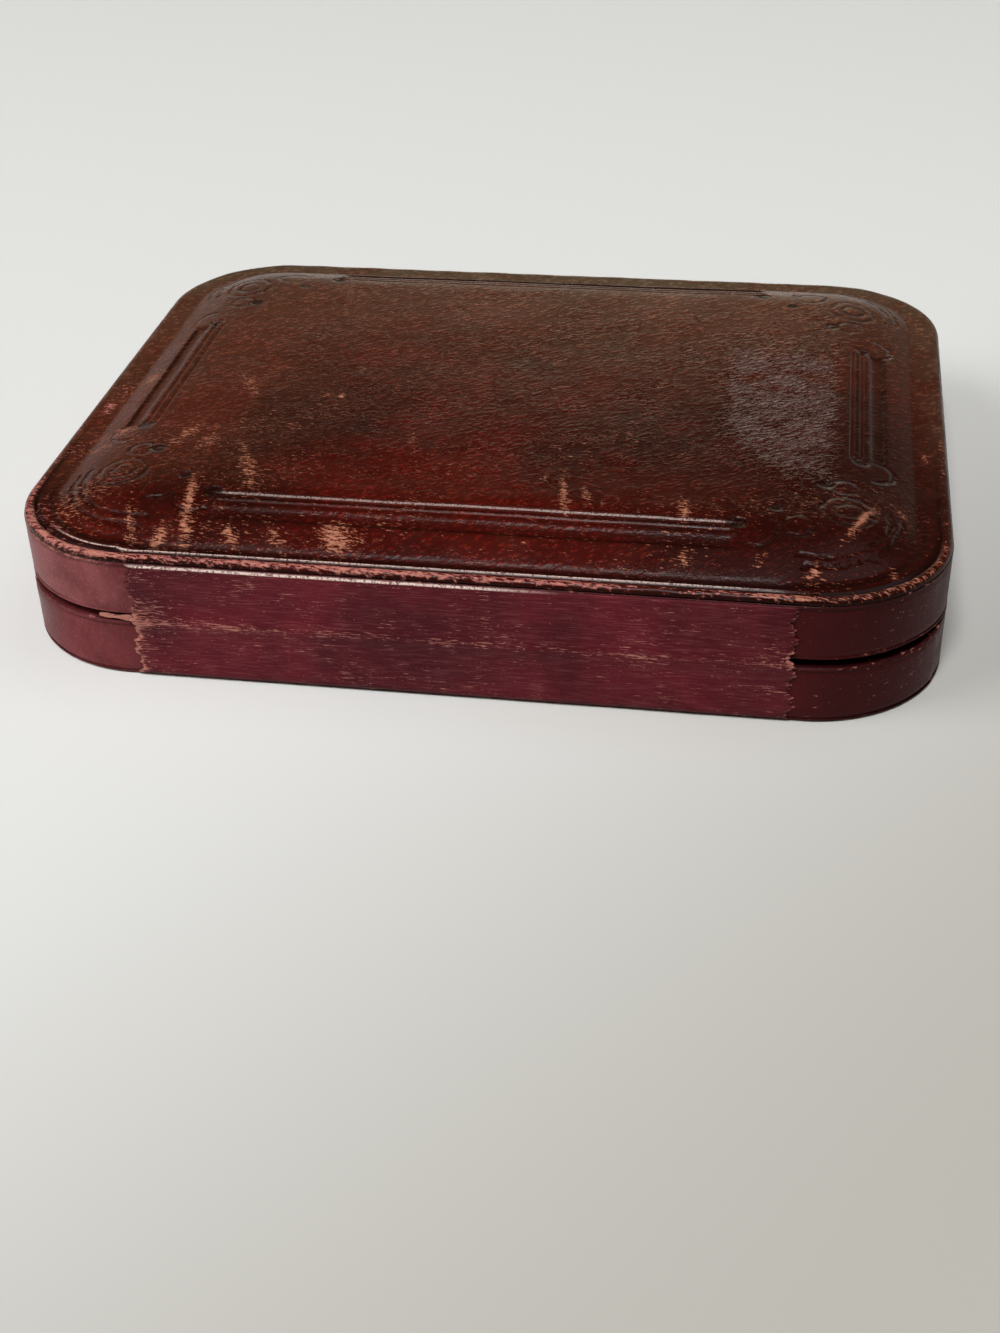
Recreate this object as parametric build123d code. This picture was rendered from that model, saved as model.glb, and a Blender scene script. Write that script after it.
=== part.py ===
from build123d import *
import os

# Leather jewellery case. Millimetres, +Z up, origin under the middle of the base.
# The front, with the push button, faces -Y. The leather spine and the hinges are at +Y.

# Outside of the leather, without the spine strip
case_width = 150.0
case_depth = 120.6
corner_radius = 21.6
seam_height = 10.6
rim_height = 21.8
crown_rise = 3.6

# Leather, wood and card
cover = 0.7
turn_in = 0.4
base_cover = 0.6
base_wall_thick = 4.6
base_board_thick = 2.0
lid_board_thick = 1.8
lip_clearance = 0.4
lip_rise = 1.6
lining_thick = 0.7
lid_lining_thick = 0.4
pad_board_thick = 1.2
foot_chamfer = 0.35

# Raised edge and cushioned field on top of the lid, as distances in from the outside
bead_wide = 2.3
bead_drop = 0.8
ridge_at = 3.8
ridge_wide = 1.0
ridge_high = 0.4
crown_start = 5.2
crown_foot_rise = 0.2
crown_end = 20.0
strip_lap = 0.45
bead_shape = ((0, 0.8), (0.25, 0.05), (0.6, 0.05), (1, 1))
crown_shares = (0.34, 0.67, 1)
under_shares = (0.5, 1)

# Tooled rules: broad groove and two fine lines on each side
rule_inset = 12.0
rule_long = 84.0
rule_short = 42.0
rule_groove_radius = 1.9
rule_groove_deep = 0.32
line_radius = 0.45
line_deep = 0.16
line_insets = (14.5, 16.1)

# Slit at the back, which tapers away round the corners
slit_half = 0.65
slit_full_from = 8.4
slit_ends_at = 17.5

# Spine strip
spine_width = 104.0
spine_thick = 0.6
spine_fold_half = 1.4
spine_margin = 0.4
spine_round = 0.25
spine_top_gap = 0.1

# Hinges
hinge_spacing = 68.0
hinge_width = 18.0
axis_inset = 0.55
knuckle_radius = 0.8
pin_radius = 0.35
pin_fit = 0.05
knuckle_gap = 0.2
lid_knuckle_long = 7.2
leaf_thick = 0.4
leaf_deep = 3.6
nail_radius = 0.35
nail_head_radius = 0.75
nail_head_thick = 0.25
nail_length = 3.4
nail_spacing = 11.0
knuckle_room = 0.2

# Catch in the front wall
button_radius = 2.2
button_fit = 0.06
button_travel = 1.0
button_height = 6.0
button_proud = 1.6
button_dome = 0.9
collar_wall = 0.85
collar_proud = 0.5
collar_roll = 0.25
collar_step = 0.35
plate_width = 19.0
plate_thick = 0.5
plate_margin = 0.5
plate_corner = 0.8
latch_front_bar = 0.5
latch_rear_bar = 0.4
latch_thick = 0.7
latch_side_bar = 1.0
latch_room = 0.1
latch_setback = 0.45
tail_rise = 0.6
pocket_room = 0.3
pocket_front_room = 0.05
spring_wall = 0.9
spring_side_room = 0.2
slot_side_room = 0.3
slot_front_room = 0.25
slot_back_room = 0.15
hook_width = 6.0
hook_thick = 0.6
hook_barb = 0.4
barb_high = 0.7
barb_slope = 0.6
hook_reach = 3.3
spring_thick = 0.2
spring_high = 1.8
spring_span = 13.0
screw_radius = 0.55
screw_head_radius = 1.0
screw_head_thick = 0.3
screw_length = 3.0
screw_spacing = 15.0

# Fitted insert
insert_gap = 0.2
velvet_thick = 0.8
velvet_above_seam = 0.6
well_deep = 5.6
necklace_outer = (116.0, 88.0)
necklace_wide = 12.0
necklace_gap = 24.0
necklace_corner = 30.0
brooch_well = (38.0, 27.0)
earring_well_radius = 7.0
earring_spacing = 64.0

# Padded lining of the lid
pad_gap = 0.2
pad_edge_thick = 3.0
pad_crown = 1.1
pad_shoulder = 0.45

# Worked out
lid_wall_thick = base_wall_thick - lip_clearance
wood_top = rim_height - bead_drop - cover
lid_board_bottom = wood_top - lid_board_thick
rim_bead = rim_height - bead_drop
crown_top = rim_height + crown_rise
crown_foot = rim_bead + crown_foot_rise
base_inside = cover + base_wall_thick
lid_inside = cover + lid_wall_thick
board_top = base_cover + base_board_thick
half_depth = case_depth / 2
axis_y = half_depth - axis_inset
side_cover_top = wood_top + strip_lap
velvet_top = seam_height + velvet_above_seam
lip_top = seam_height + lip_rise


def outline(inset):
    """Plan of the case, drawn in by an inset."""
    corner = corner_radius - inset
    return RectangleRounded(case_width - 2 * inset, case_depth - 2 * inset, corner)


def slab(inset, low, high):
    return Pos(0, 0, low) * extrude(outline(inset), high - low)


def band(outside, inside, low, high):
    return Pos(0, 0, low) * extrude(outline(outside) - outline(inside), high - low)


def block(x, y, z):
    """Block between pairs of limits along each axis."""
    size = (x[1] - x[0], y[1] - y[0], z[1] - z[0])
    centre = (sum(x) / 2, sum(y) / 2, sum(z) / 2)
    return Pos(*centre) * Box(*size)


def border(section):
    """Carries a section, drawn as inset and height, round the case: four runs, four corners."""
    run_x = case_width / 2 - corner_radius
    run_y = case_depth / 2 - corner_radius
    front = Plane((-run_x, -case_depth / 2, 0), x_dir=(0, 1, 0), z_dir=(1, 0, 0))
    left = Plane((-case_width / 2, run_y, 0), x_dir=(1, 0, 0), z_dir=(0, -1, 0))
    front_run = extrude(front * section, 2 * run_x)
    left_run = extrude(left * section, 2 * run_y)
    corner_axis = Axis((-run_x, -run_y, 0), (0, 0, 1))
    left_end = Plane((-case_width / 2, -run_y, 0), x_dir=(1, 0, 0), z_dir=(0, -1, 0))
    corner = revolve(left_end * section, axis=corner_axis, revolution_arc=90)
    half = front_run + corner + left_run + mirror(corner, Plane.YZ)
    other = mirror(mirror(half, Plane.YZ), Plane.XZ)
    return half + other


def slit(shift):
    """Wedge that opens the seam at the back, moved up or down by a shift."""
    back = half_depth + 5
    full = half_depth - slit_full_from
    end = half_depth - slit_ends_at
    corners = [
        (end, 0),
        (full, slit_half),
        (back, slit_half),
        (back, -slit_half),
        (full, -slit_half),
    ]
    side = Plane((-case_width, 0, seam_height + shift), x_dir=(0, 1, 0), z_dir=(1, 0, 0))
    return extrude(side * make_face(Polyline(*corners, close=True)), 2 * case_width)


def crown_height(inset):
    """Height of the cushioned field at an inset."""
    run = crown_end - crown_start
    rise = crown_top - crown_foot
    radius = (run**2 + rise**2) / (2 * rise)
    return crown_top - radius + (radius**2 - (crown_end - inset) ** 2) ** 0.5


# Wood and card


def make_base_wall():
    wood = band(cover, base_inside, board_top, seam_height - turn_in)
    return wood - slit(-turn_in)


def make_lid_wall():
    wood = band(cover, lid_inside, seam_height + turn_in, lid_board_bottom)
    return wood - slit(turn_in)


def crown_facets(drop, shares):
    """Cushioned field in straight facets that end on its arc, from its top to its foot."""
    run = crown_end - crown_start
    points = [(crown_end, crown_top - drop)]
    for share in shares:
        inset = crown_end - share * run
        points.append((inset, crown_height(inset) - drop))
    return Polyline(*points)


def make_wadding():
    """Dome of wadding under the top leather."""
    line = crown_facets(cover, under_shares)
    end = crown_top - cover
    edges = [
        *line.edges(),
        Line(line @ 1, (crown_start, wood_top)),
        Line((crown_start, wood_top), (crown_end, wood_top)),
        Line((crown_end, wood_top), (crown_end, end)),
    ]
    return border(make_face(edges)) + slab(crown_end, wood_top, end)


# Leather


def make_base_side_leather(wall):
    """Band round the base, turned in over the top of the wood."""
    skin = band(0, base_inside, 0, seam_height)
    skin = chamfer(outer_edges(skin, 0), foot_chamfer)
    return skin - slit(0) - slab(cover, -1, board_top) - wall


def outer_edges(part, height):
    """Edges at a height that lie on the outside of the case."""
    found = []
    for edge in part.edges():
        low = edge.bounding_box().min
        high = edge.bounding_box().max
        level = abs(low.Z - height) < 0.01 and abs(high.Z - height) < 0.01
        far_x = max(abs(low.X), abs(high.X)) > case_width / 2 - 0.01
        far_y = max(abs(low.Y), abs(high.Y)) > case_depth / 2 - 0.01
        if level and (far_x or far_y):
            found.append(edge)
    return found


def make_lid_side_leather(wall):
    """Band round the lid, turned in under the bottom of the wood."""
    outer = band(0, cover, seam_height, side_cover_top)
    flange = band(0, lid_inside, seam_height, seam_height + slit_half + 2 * turn_in)
    return (outer + flange) - slit(0) - wall


def make_lid_top_leather():
    """Top leather: bead at the rim, channel, fine ridge, channel, then the crown."""
    bead = [(0, side_cover_top)]
    bead += [(bead_wide * across, rim_height - bead_drop * down) for across, down in bead_shape]
    half = ridge_wide / 2
    ridge = [
        (ridge_at - half, rim_bead),
        (ridge_at, rim_bead + ridge_high),
        (ridge_at + half, rim_bead),
    ]
    outside = Polyline(*bead, *ridge, (crown_start, crown_foot))
    under = crown_facets(cover, under_shares)
    inside = Polyline(
        under @ 1,
        (crown_start, wood_top),
        (cover, wood_top),
        (cover, side_cover_top),
        (0, side_cover_top),
    )
    edges = [
        *outside.edges(),
        *crown_facets(0, crown_shares).edges(),
        Line((crown_end, crown_top), (crown_end, crown_top - cover)),
        *under.edges(),
        *inside.edges(),
    ]
    return border(make_face(edges)) + slab(crown_end, crown_top - cover, crown_top)


def groove(inset, radius, deep, height):
    """Round-bottomed groove along each of the four sides, with rounded ends."""
    level = height + radius - deep
    cutters = []
    for sign in (-1, 1):
        along_x = Rot(0, 90, 0) * Cylinder(radius, rule_long)
        along_y = Rot(90, 0, 0) * Cylinder(radius, rule_short)
        cutters.append(Pos(0, sign * (case_depth / 2 - inset), level) * along_x)
        cutters.append(Pos(sign * (case_width / 2 - inset), 0, level) * along_y)
    return cutters


def tool_rules(leather):
    """Blind tooling: on each side a broad groove with two fine lines inside it."""
    cutters = groove(rule_inset, rule_groove_radius, rule_groove_deep, crown_height(rule_inset))
    for inset in line_insets:
        cutters += groove(inset, line_radius, line_deep, crown_height(inset))
    for cutter in cutters:
        leather = leather - cutter
    return leather


def spine_part(low, high):
    strip = block(
        (-spine_width / 2, spine_width / 2),
        (half_depth, half_depth + spine_thick),
        (low, high),
    )
    outside = strip.faces().sort_by(Axis.Y)[-1].edges()
    return fillet(outside, spine_round)


# Hinges


def hinge_rod(radius, x_middle, length):
    """Round rod on the hinge axis."""
    return Pos(x_middle, axis_y, seam_height) * (Rot(0, 90, 0) * Cylinder(radius, length))


def driven(head_radius, head_thick, shank_radius, long, head_up):
    """Nail or screw, its eight-sided head level with z = 0 and its shank square."""
    thick = shank_radius * 2**0.5
    head = extrude(RegularPolygon(head_radius, 8), -head_thick)
    solid = head + extrude(Rectangle(thick, thick), -long)
    return solid if head_up else Rot(180, 0, 0) * solid


def leaf(x_middle, side):
    """Leaf with its knuckles. side is -1 for the base and 1 for the lid."""
    end_long = (hinge_width - lid_knuckle_long) / 2 - knuckle_gap
    end_at = hinge_width / 2 - end_long / 2
    surface = seam_height + side * slit_half
    level = tuple(sorted((surface, surface - side * leaf_thick)))
    x_span = (x_middle - hinge_width / 2, x_middle + hinge_width / 2)
    plate = block(x_span, (axis_y - leaf_deep, axis_y), level)
    room = knuckle_radius + knuckle_room
    if side > 0:
        own = [(x_middle, lid_knuckle_long)]
        others = [(x_middle - end_at, end_long), (x_middle + end_at, end_long)]
    else:
        own = [(x_middle - end_at, end_long), (x_middle + end_at, end_long)]
        others = [(x_middle, lid_knuckle_long)]
    for middle, length in others:
        half = length / 2 + knuckle_gap
        away = block((middle - half, middle + half), (axis_y - room, axis_y + room), (0, 3 * rim_height))
        plate = plate - away
    for middle, length in own:
        plate = plate + hinge_rod(knuckle_radius, middle, length)
    bore = pin_radius + (pin_fit if side > 0 else 0)
    plate = plate - hinge_rod(bore, x_middle, hinge_width + 1)
    for hole in nails_of(x_middle, side):
        plate = plate - hole
    return plate


def nails_of(x_middle, side):
    """Two nails through a leaf, level with its face."""
    face = seam_height + side * (slit_half - leaf_thick)
    y = axis_y - leaf_deep / 2 - knuckle_radius / 2
    spots = [x_middle - nail_spacing / 2, x_middle + nail_spacing / 2]
    nail = driven(nail_head_radius, nail_head_thick, nail_radius, nail_length, side < 0)
    return [Pos(x, y, face) * nail for x in spots]


def knuckle_trough(x_middle):
    return hinge_rod(knuckle_radius + knuckle_room, x_middle, hinge_width + 2 * knuckle_room)


# Catch

# Distances back from the outside of the front leather
latch_front = cover + latch_setback
latch_open = latch_front + latch_front_bar
hook_front = latch_open + button_travel + latch_room
hook_back = hook_front + hook_thick
barb_back = hook_back + hook_barb
nose_front = barb_back + latch_room
latch_back = nose_front + latch_rear_bar
front_y = -case_depth / 2
plate_front = cover + plate_margin
plate_back = base_inside - plate_margin
barb_low = seam_height - hook_reach
barb_top = barb_low + barb_high
latch_low = barb_top + latch_room
latch_top = latch_low + latch_thick
slot_half = hook_width / 2 + slot_side_room
latch_half = slot_half + latch_side_bar
tail_low = button_height - button_radius + tail_rise
spring_room = tail_low - spring_side_room
spring_seat = base_inside - spring_wall


def from_front(first, second):
    return (front_y + first, front_y + second)


def make_catch_pocket():
    """Hollow in the front wall for the latch, open upwards, and wider below for the spring."""
    top = seam_height - plate_thick
    wide = latch_half + pocket_room
    front = latch_front - pocket_front_room
    floor = barb_low - pocket_room
    upper = block((-wide, wide), from_front(front, base_inside), (floor, top))
    half = spring_span / 2 + pocket_room
    lower = block((-half, half), from_front(front, spring_seat), (spring_room, floor))
    return upper + lower


def make_catch_plate(back):
    """Blank of a brass plate for the rim, as deep as back allows."""
    half = plate_width / 2
    plan = block((-half, half), from_front(plate_front, back), (0, plate_thick))
    ends = plan.edges().filter_by(Axis.Z)
    return chamfer(ends, plate_corner)


def screws_at(head_up):
    y = front_y + (plate_front + plate_back) / 2
    screw = driven(screw_head_radius, screw_head_thick, screw_radius, screw_length, head_up)
    return [Pos(sign * screw_spacing / 2, y, seam_height) * screw for sign in (-1, 1)]


def make_base_catch_plate():
    plate = Pos(0, 0, seam_height - plate_thick) * make_catch_plate(plate_back)
    slot = block(
        (-slot_half, slot_half),
        from_front(hook_front - slot_front_room, nose_front + slot_back_room),
        (0, 2 * seam_height),
    )
    plate = plate - slot
    for hole in screws_at(True):
        plate = plate - hole
    return plate


def make_catch_hook():
    """Lid half of the catch: a plate with a tongue, and a barb that the latch holds."""
    plate = Pos(0, 0, seam_height) * make_catch_plate(plate_back - lip_clearance)
    half = hook_width / 2
    tongue_level = (barb_low, seam_height + plate_thick / 2)
    tongue = block((-half, half), from_front(hook_front, hook_back), tongue_level)
    side = Plane((-half, front_y, 0), x_dir=(0, 1, 0), z_dir=(1, 0, 0))
    wedge = Polyline(
        (hook_back, barb_low),
        (barb_back, barb_low + barb_high * barb_slope),
        (barb_back, barb_top),
        (hook_back, barb_top),
        close=True,
    )
    barb = extrude(side * make_face(wedge), hook_width)
    plate = plate + tongue + barb
    for hole in screws_at(False):
        plate = plate - hole
    return plate


def make_latch():
    """Sliding latch: a frame round the hook, with a tail down to the button."""
    frame = block((-latch_half, latch_half), from_front(latch_front, latch_back), (latch_low, latch_top))
    window = block((-slot_half, slot_half), from_front(latch_open, nose_front), (0, 2 * seam_height))
    tail_half = button_radius
    tail = block((-tail_half, tail_half), from_front(latch_front, latch_open), (tail_low, latch_low))
    return (frame - window) + tail


def front_rod(radius, first, second):
    """Round rod through the front wall on the button's axis."""
    length = second - first
    middle = front_y + (first + second) / 2
    return Pos(0, middle, button_height) * (Rot(90, 0, 0) * Cylinder(radius, length))


def make_button():
    """Turned brass button with a tapered end, riveted to the latch's tail."""
    rod = front_rod(button_radius, -button_proud, latch_front)
    end = rod.faces().sort_by(Axis.Y)[0]
    return chamfer(end.edges(), button_dome, button_dome / 2, reference=end)


def make_collar():
    """Brass collar pressed into the front wall, with a rolled flange on the leather."""
    bore = button_radius + button_fit
    outside = button_radius + collar_wall
    sleeve = front_rod(outside - collar_step, 0, latch_front - pocket_front_room)
    flange = front_rod(outside, -collar_proud, 0)
    rolled = flange.faces().sort_by(Axis.Y)[0].edges()
    flange = chamfer(rolled, collar_roll)
    return sleeve + flange - front_rod(bore, -2, latch_front + 1)


def make_spring():
    """Bowed leaf spring between the latch's tail and the back of the pocket."""
    touch = front_y + latch_open
    seat = front_y + spring_seat
    half = spring_span / 2
    bow = seat - touch - spring_thick
    outer = ThreePointArc((-half, touch + bow), (0, touch), (half, touch + bow))
    inner = ThreePointArc(
        (-half, touch + bow + spring_thick), (0, touch + spring_thick), (half, touch + bow + spring_thick)
    )
    ends = [Line(outer @ 0, inner @ 0), Line(outer @ 1, inner @ 1)]
    strip = make_face([outer, inner, *ends])
    return Pos(0, 0, tail_low) * extrude(strip, spring_high)


# Lining and insert


def necklace_channel(grow, low, high):
    """Horseshoe channel, open at the back, widened all round by grow."""
    wide, deep = necklace_outer
    outer = RectangleRounded(wide + 2 * grow, deep + 2 * grow, necklace_corner + grow)
    inside = necklace_wide + grow
    inner = RectangleRounded(wide - 2 * inside, deep - 2 * inside, necklace_corner - inside)
    gap = Pos(0, deep / 2) * Rectangle(necklace_gap - 2 * grow, 2.5 * necklace_wide)
    ring = outer - inner - gap
    return Pos(0, 0, low) * extrude(ring, high - low)


def wells(grow):
    """Hollows for the jewels, widened and deepened by grow."""
    low = velvet_top - well_deep - grow
    high = velvet_top + 1
    brooch = Ellipse(brooch_well[0] / 2 + grow, brooch_well[1] / 2 + grow)
    found = [necklace_channel(grow, low, high)]
    found.append(Pos(0, 0, low) * extrude(brooch, high - low))
    for sign in (-1, 1):
        ring = Pos(sign * earring_spacing / 2, 0) * Circle(earring_well_radius + grow)
        found.append(Pos(0, 0, low) * extrude(ring, high - low))
    return found


def make_former():
    solid = slab(base_inside + lining_thick + insert_gap, board_top, velvet_top - velvet_thick)
    for well in wells(velvet_thick):
        solid = solid - well
    return solid


def make_velvet(former):
    inset = base_inside + lining_thick + insert_gap
    solid = slab(inset, board_top, velvet_top) - former
    for well in wells(0):
        solid = solid - well
    return solid


def make_satin_pad():
    """Padded panel inside the lid, crowned downwards."""
    inset = lid_inside + lid_lining_thick + pad_gap
    top = lid_board_bottom - pad_board_thick
    edge = top - pad_edge_thick
    low = edge - pad_crown
    shoulder = (inset + (crown_end - inset) * pad_shoulder, low)
    edges = [
        Line((inset, top), (inset, edge)),
        Line((inset, edge), shoulder),
        Line(shoulder, (crown_end, low)),
        Line((crown_end, low), (crown_end, top)),
        Line((crown_end, top), (inset, top)),
    ]
    return border(make_face(edges)) + slab(crown_end, low, top)


# The whole case


def build():
    parts = {}
    base_wall = make_base_wall()
    lid_wall = make_lid_wall()
    parts["base_board"] = slab(cover, base_cover, board_top)
    parts["base_bottom_leather"] = slab(cover, 0, base_cover)
    parts["base_side_leather"] = make_base_side_leather(base_wall)
    parts["base_lining"] = band(base_inside, base_inside + lining_thick, board_top, lip_top)
    parts["insert_former"] = make_former()
    parts["base_velvet"] = make_velvet(parts["insert_former"])
    parts["spine_lower"] = spine_part(spine_margin, seam_height - spine_fold_half)

    parts["lid_side_leather"] = make_lid_side_leather(lid_wall)
    parts["lid_board"] = slab(cover, lid_board_bottom, wood_top)
    parts["lid_wadding"] = make_wadding()
    parts["lid_top_leather"] = tool_rules(make_lid_top_leather())
    lining_low = lip_top + lip_clearance
    lid_lining_in = lid_inside + lid_lining_thick
    parts["lid_lining"] = band(lid_inside, lid_lining_in, lining_low, lid_board_bottom)
    pad_inset = lid_lining_in + pad_gap
    pad_top = lid_board_bottom - pad_board_thick
    parts["lid_pad_board"] = slab(pad_inset, pad_top, lid_board_bottom)
    parts["lid_satin_pad"] = make_satin_pad()
    parts["spine_upper"] = spine_part(seam_height + spine_fold_half, side_cover_top - spine_top_gap)

    pocket = make_catch_pocket()
    collar_hole = front_rod(button_radius + collar_wall - collar_step, 0, latch_front)
    parts["catch_plate"] = make_base_catch_plate()
    parts["catch_hook"] = make_catch_hook()
    base_plate_seat = Pos(0, 0, seam_height - plate_thick) * make_catch_plate(plate_back)
    hook_plate_seat = Pos(0, 0, seam_height) * make_catch_plate(plate_back - lip_clearance)
    parts["catch_plate_screws"] = Compound(children=screws_at(True))
    parts["catch_hook_screws"] = Compound(children=screws_at(False))
    parts["push_button"] = make_button()
    parts["button_collar"] = make_collar()
    parts["latch"] = make_latch()
    parts["latch_spring"] = make_spring()

    button_bore = front_rod(button_radius + button_fit, 0, latch_front + button_travel + latch_room)
    base_cuts = [pocket, collar_hole, button_bore, base_plate_seat, *screws_at(True)]
    lid_cuts = [hook_plate_seat, *screws_at(False)]
    base_nails = []
    lid_nails = []
    for name, x in (("left", -hinge_spacing / 2), ("right", hinge_spacing / 2)):
        parts["hinge_base_leaf_" + name] = leaf(x, -1)
        parts["hinge_lid_leaf_" + name] = leaf(x, 1)
        parts["hinge_pin_" + name] = hinge_rod(pin_radius, x, hinge_width)
        base_nails += nails_of(x, -1)
        lid_nails += nails_of(x, 1)
        base_cuts.append(knuckle_trough(x))
        lid_cuts.append(knuckle_trough(x))
    parts["hinge_base_nails"] = Compound(children=base_nails)
    parts["hinge_lid_nails"] = Compound(children=lid_nails)
    base_cuts += base_nails
    lid_cuts += lid_nails

    for cut in base_cuts:
        base_wall = base_wall - cut
        parts["base_side_leather"] = parts["base_side_leather"] - cut
    for cut in lid_cuts:
        lid_wall = lid_wall - cut
        parts["lid_side_leather"] = parts["lid_side_leather"] - cut
    parts["base_wall"] = base_wall
    parts["lid_wall"] = lid_wall
    return parts


os.makedirs("parts", exist_ok=True)
for node, solid in build().items():
    export_step(solid, "parts/" + node + ".step")
    print(node, round(solid.volume, 1))
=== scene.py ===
import math
import bpy
import numpy as np
from mathutils import Matrix, Vector


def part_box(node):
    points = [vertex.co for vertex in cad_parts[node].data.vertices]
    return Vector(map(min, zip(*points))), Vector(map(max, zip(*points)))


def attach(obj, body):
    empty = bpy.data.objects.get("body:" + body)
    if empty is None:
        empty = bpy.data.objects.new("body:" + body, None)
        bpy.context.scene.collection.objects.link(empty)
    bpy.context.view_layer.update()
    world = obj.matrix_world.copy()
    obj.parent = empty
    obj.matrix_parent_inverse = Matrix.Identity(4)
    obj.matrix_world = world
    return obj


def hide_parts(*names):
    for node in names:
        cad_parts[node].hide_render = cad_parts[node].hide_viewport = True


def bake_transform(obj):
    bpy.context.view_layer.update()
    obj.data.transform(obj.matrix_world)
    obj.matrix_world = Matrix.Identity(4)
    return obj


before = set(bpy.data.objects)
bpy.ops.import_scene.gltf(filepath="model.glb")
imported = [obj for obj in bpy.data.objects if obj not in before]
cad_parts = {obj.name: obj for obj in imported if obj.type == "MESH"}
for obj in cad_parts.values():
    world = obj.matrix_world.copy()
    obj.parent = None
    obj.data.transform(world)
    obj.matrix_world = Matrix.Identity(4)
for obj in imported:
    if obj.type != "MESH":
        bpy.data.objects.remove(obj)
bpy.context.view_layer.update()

mm = 0.001
print("frame loaded:", len(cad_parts), "nodes")


def limits(node):
    # lowest and highest corner of a node, in millimetres
    low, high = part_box(node)
    return np.array(low) / mm, np.array(high) / mm


# Form of the case, in millimetres. Insets are measured in from the outside of the leather.
caseForm = {
    "corner": 21.6,
    "seam": 10.6,
    "slitHalf": 0.65,
    "slitFullFrom": 8.4,
    "slitEndsAt": 17.5,
    "step": 0.8,
}
sideLow, sideHigh = limits("lid_side_leather")
caseHalf = np.array([(sideHigh[0] - sideLow[0]) / 2, (sideHigh[1] - sideLow[1]) / 2])
coreHalf = caseHalf - caseForm["corner"]


def stationsRound(step):
    # One closed loop of stations, anticlockwise: a point on the core rectangle and the outward
    # normal. A point of the case at an inset is core + normal * (corner radius - inset).
    bends = int(round(caseForm["corner"] * np.pi / 2 / step))
    corners = coreHalf * [(1, -1), (1, 1), (-1, 1), (-1, -1)]
    core, normal = [], []
    for side in range(4):
        start, end = corners[side], corners[(side + 1) % 4]
        facing = np.radians(90 * side)
        runs = int(round(np.linalg.norm(end - start) / step))
        core.append(start + (end - start) * (np.arange(runs) / runs)[:, None])
        normal.append(np.tile([np.cos(facing), np.sin(facing)], (runs, 1)))
        turn = facing + np.arange(bends) / bends * np.pi / 2
        core.append(np.tile(end, (bends, 1)))
        normal.append(np.stack([np.cos(turn), np.sin(turn)], 1))
    return np.concatenate(core), np.concatenate(normal)


def insetPoints(core, normal, inset):
    # x and y at an inset, with a row for each inset and a column for each station
    reach = caseForm["corner"] - inset
    return core[:, 0] + normal[:, 0] * reach, core[:, 1] + normal[:, 1] * reach


def smooth(value, low, high):
    # smooth step from 0 at low to 1 at high
    t = np.clip((value - low) / (high - low), 0, 1)
    return t * t * (3 - 2 * t)


def bell(value, middle, half, power=2):
    # bell curve: 1 at the middle, 1/e at half
    return np.exp(-(((value - middle) / half) ** power))


def ripple(x, y, scale, seed):
    # gentle unevenness: a sum of seven sine waves in seeded directions, about -1 to 1
    rng = np.random.default_rng(seed)
    total = np.zeros_like(x, dtype=float)
    for _ in range(7):
        angle = rng.uniform(0, 2 * np.pi)
        length = scale * rng.uniform(0.6, 1.7)
        phase = rng.uniform(0, 2 * np.pi)
        total += np.sin((x * np.cos(angle) + y * np.sin(angle)) * 2 * np.pi / length + phase)
    return total / 4


def pointList(x, y, z):
    # three arrays that broadcast together, as an (n, 3) array of points
    return np.stack(np.broadcast_arrays(x, y, z), -1).reshape(-1, 3)


def gridFaces(rows, columns, closed, flip=False):
    # quads of a grid of rows x columns vertices; closed joins the last column to the first
    row = np.arange(rows - 1)[:, None]
    column = np.arange(columns if closed else columns - 1)[None, :]
    following = (column + 1) % columns
    a = row * columns + column
    b = row * columns + following
    c = (row + 1) * columns + following
    d = (row + 1) * columns + column
    order = [a, d, c, b] if flip else [a, b, c, d]
    return np.stack(order, -1).reshape(-1, 4)


def gridBorder(rows, columns):
    # vertices round the edge of an open grid, as one loop
    return np.concatenate([
        np.arange(columns - 1),
        np.arange(rows - 1) * columns + columns - 1,
        (rows - 1) * columns + np.arange(columns - 1, 0, -1),
        np.arange(rows - 1, 0, -1) * columns,
    ])


def fanFaces(ring, pole):
    # triangles from a ring of vertices to one pole
    return np.stack([ring, np.roll(ring, -1), np.full(len(ring), pole)], 1)


def buildMesh(name, points, quads, fans=None, attributes=None, smoothShade=True):
    # points in millimetres as an (n, 3) array; quads and triangle fans as index arrays
    mesh = bpy.data.meshes.new(name)
    fans = np.zeros((0, 3), int) if fans is None else fans
    loops = np.concatenate([quads.ravel(), fans.ravel()]).astype(np.int32)
    sizes = np.concatenate([np.full(len(quads), 4), np.full(len(fans), 3)])
    starts = np.concatenate([[0], np.cumsum(sizes)[:-1]]).astype(np.int32)
    mesh.vertices.add(len(points))
    mesh.vertices.foreach_set("co", (np.asarray(points) * mm).astype(np.float32).ravel())
    mesh.loops.add(len(loops))
    mesh.loops.foreach_set("vertex_index", loops)
    mesh.polygons.add(len(sizes))
    mesh.polygons.foreach_set("loop_start", starts)
    mesh.polygons.foreach_set("use_smooth", np.full(len(sizes), smoothShade))
    mesh.update(calc_edges=True)
    mesh.validate()
    for key, values in (attributes or {}).items():
        layer = mesh.attributes.new(key, "FLOAT", "POINT")
        layer.data.foreach_set("value", np.asarray(values, np.float32).ravel())
    piece = bpy.data.objects.new(name, mesh)
    bpy.context.scene.collection.objects.link(piece)
    return piece


class Field:
    # A value that varies over a surface: an output socket in its node tree. Sums, differences
    # and products of fields add Math nodes.
    def __init__(self, tree, socket):
        self.tree, self.socket = tree, socket

    def __add__(self, other):
        return calc("ADD", self, other)

    def __sub__(self, other):
        return calc("SUBTRACT", self, other)

    def __rsub__(self, other):
        return calc("SUBTRACT", other, self)

    def __mul__(self, other):
        return calc("MULTIPLY", self, other)


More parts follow.
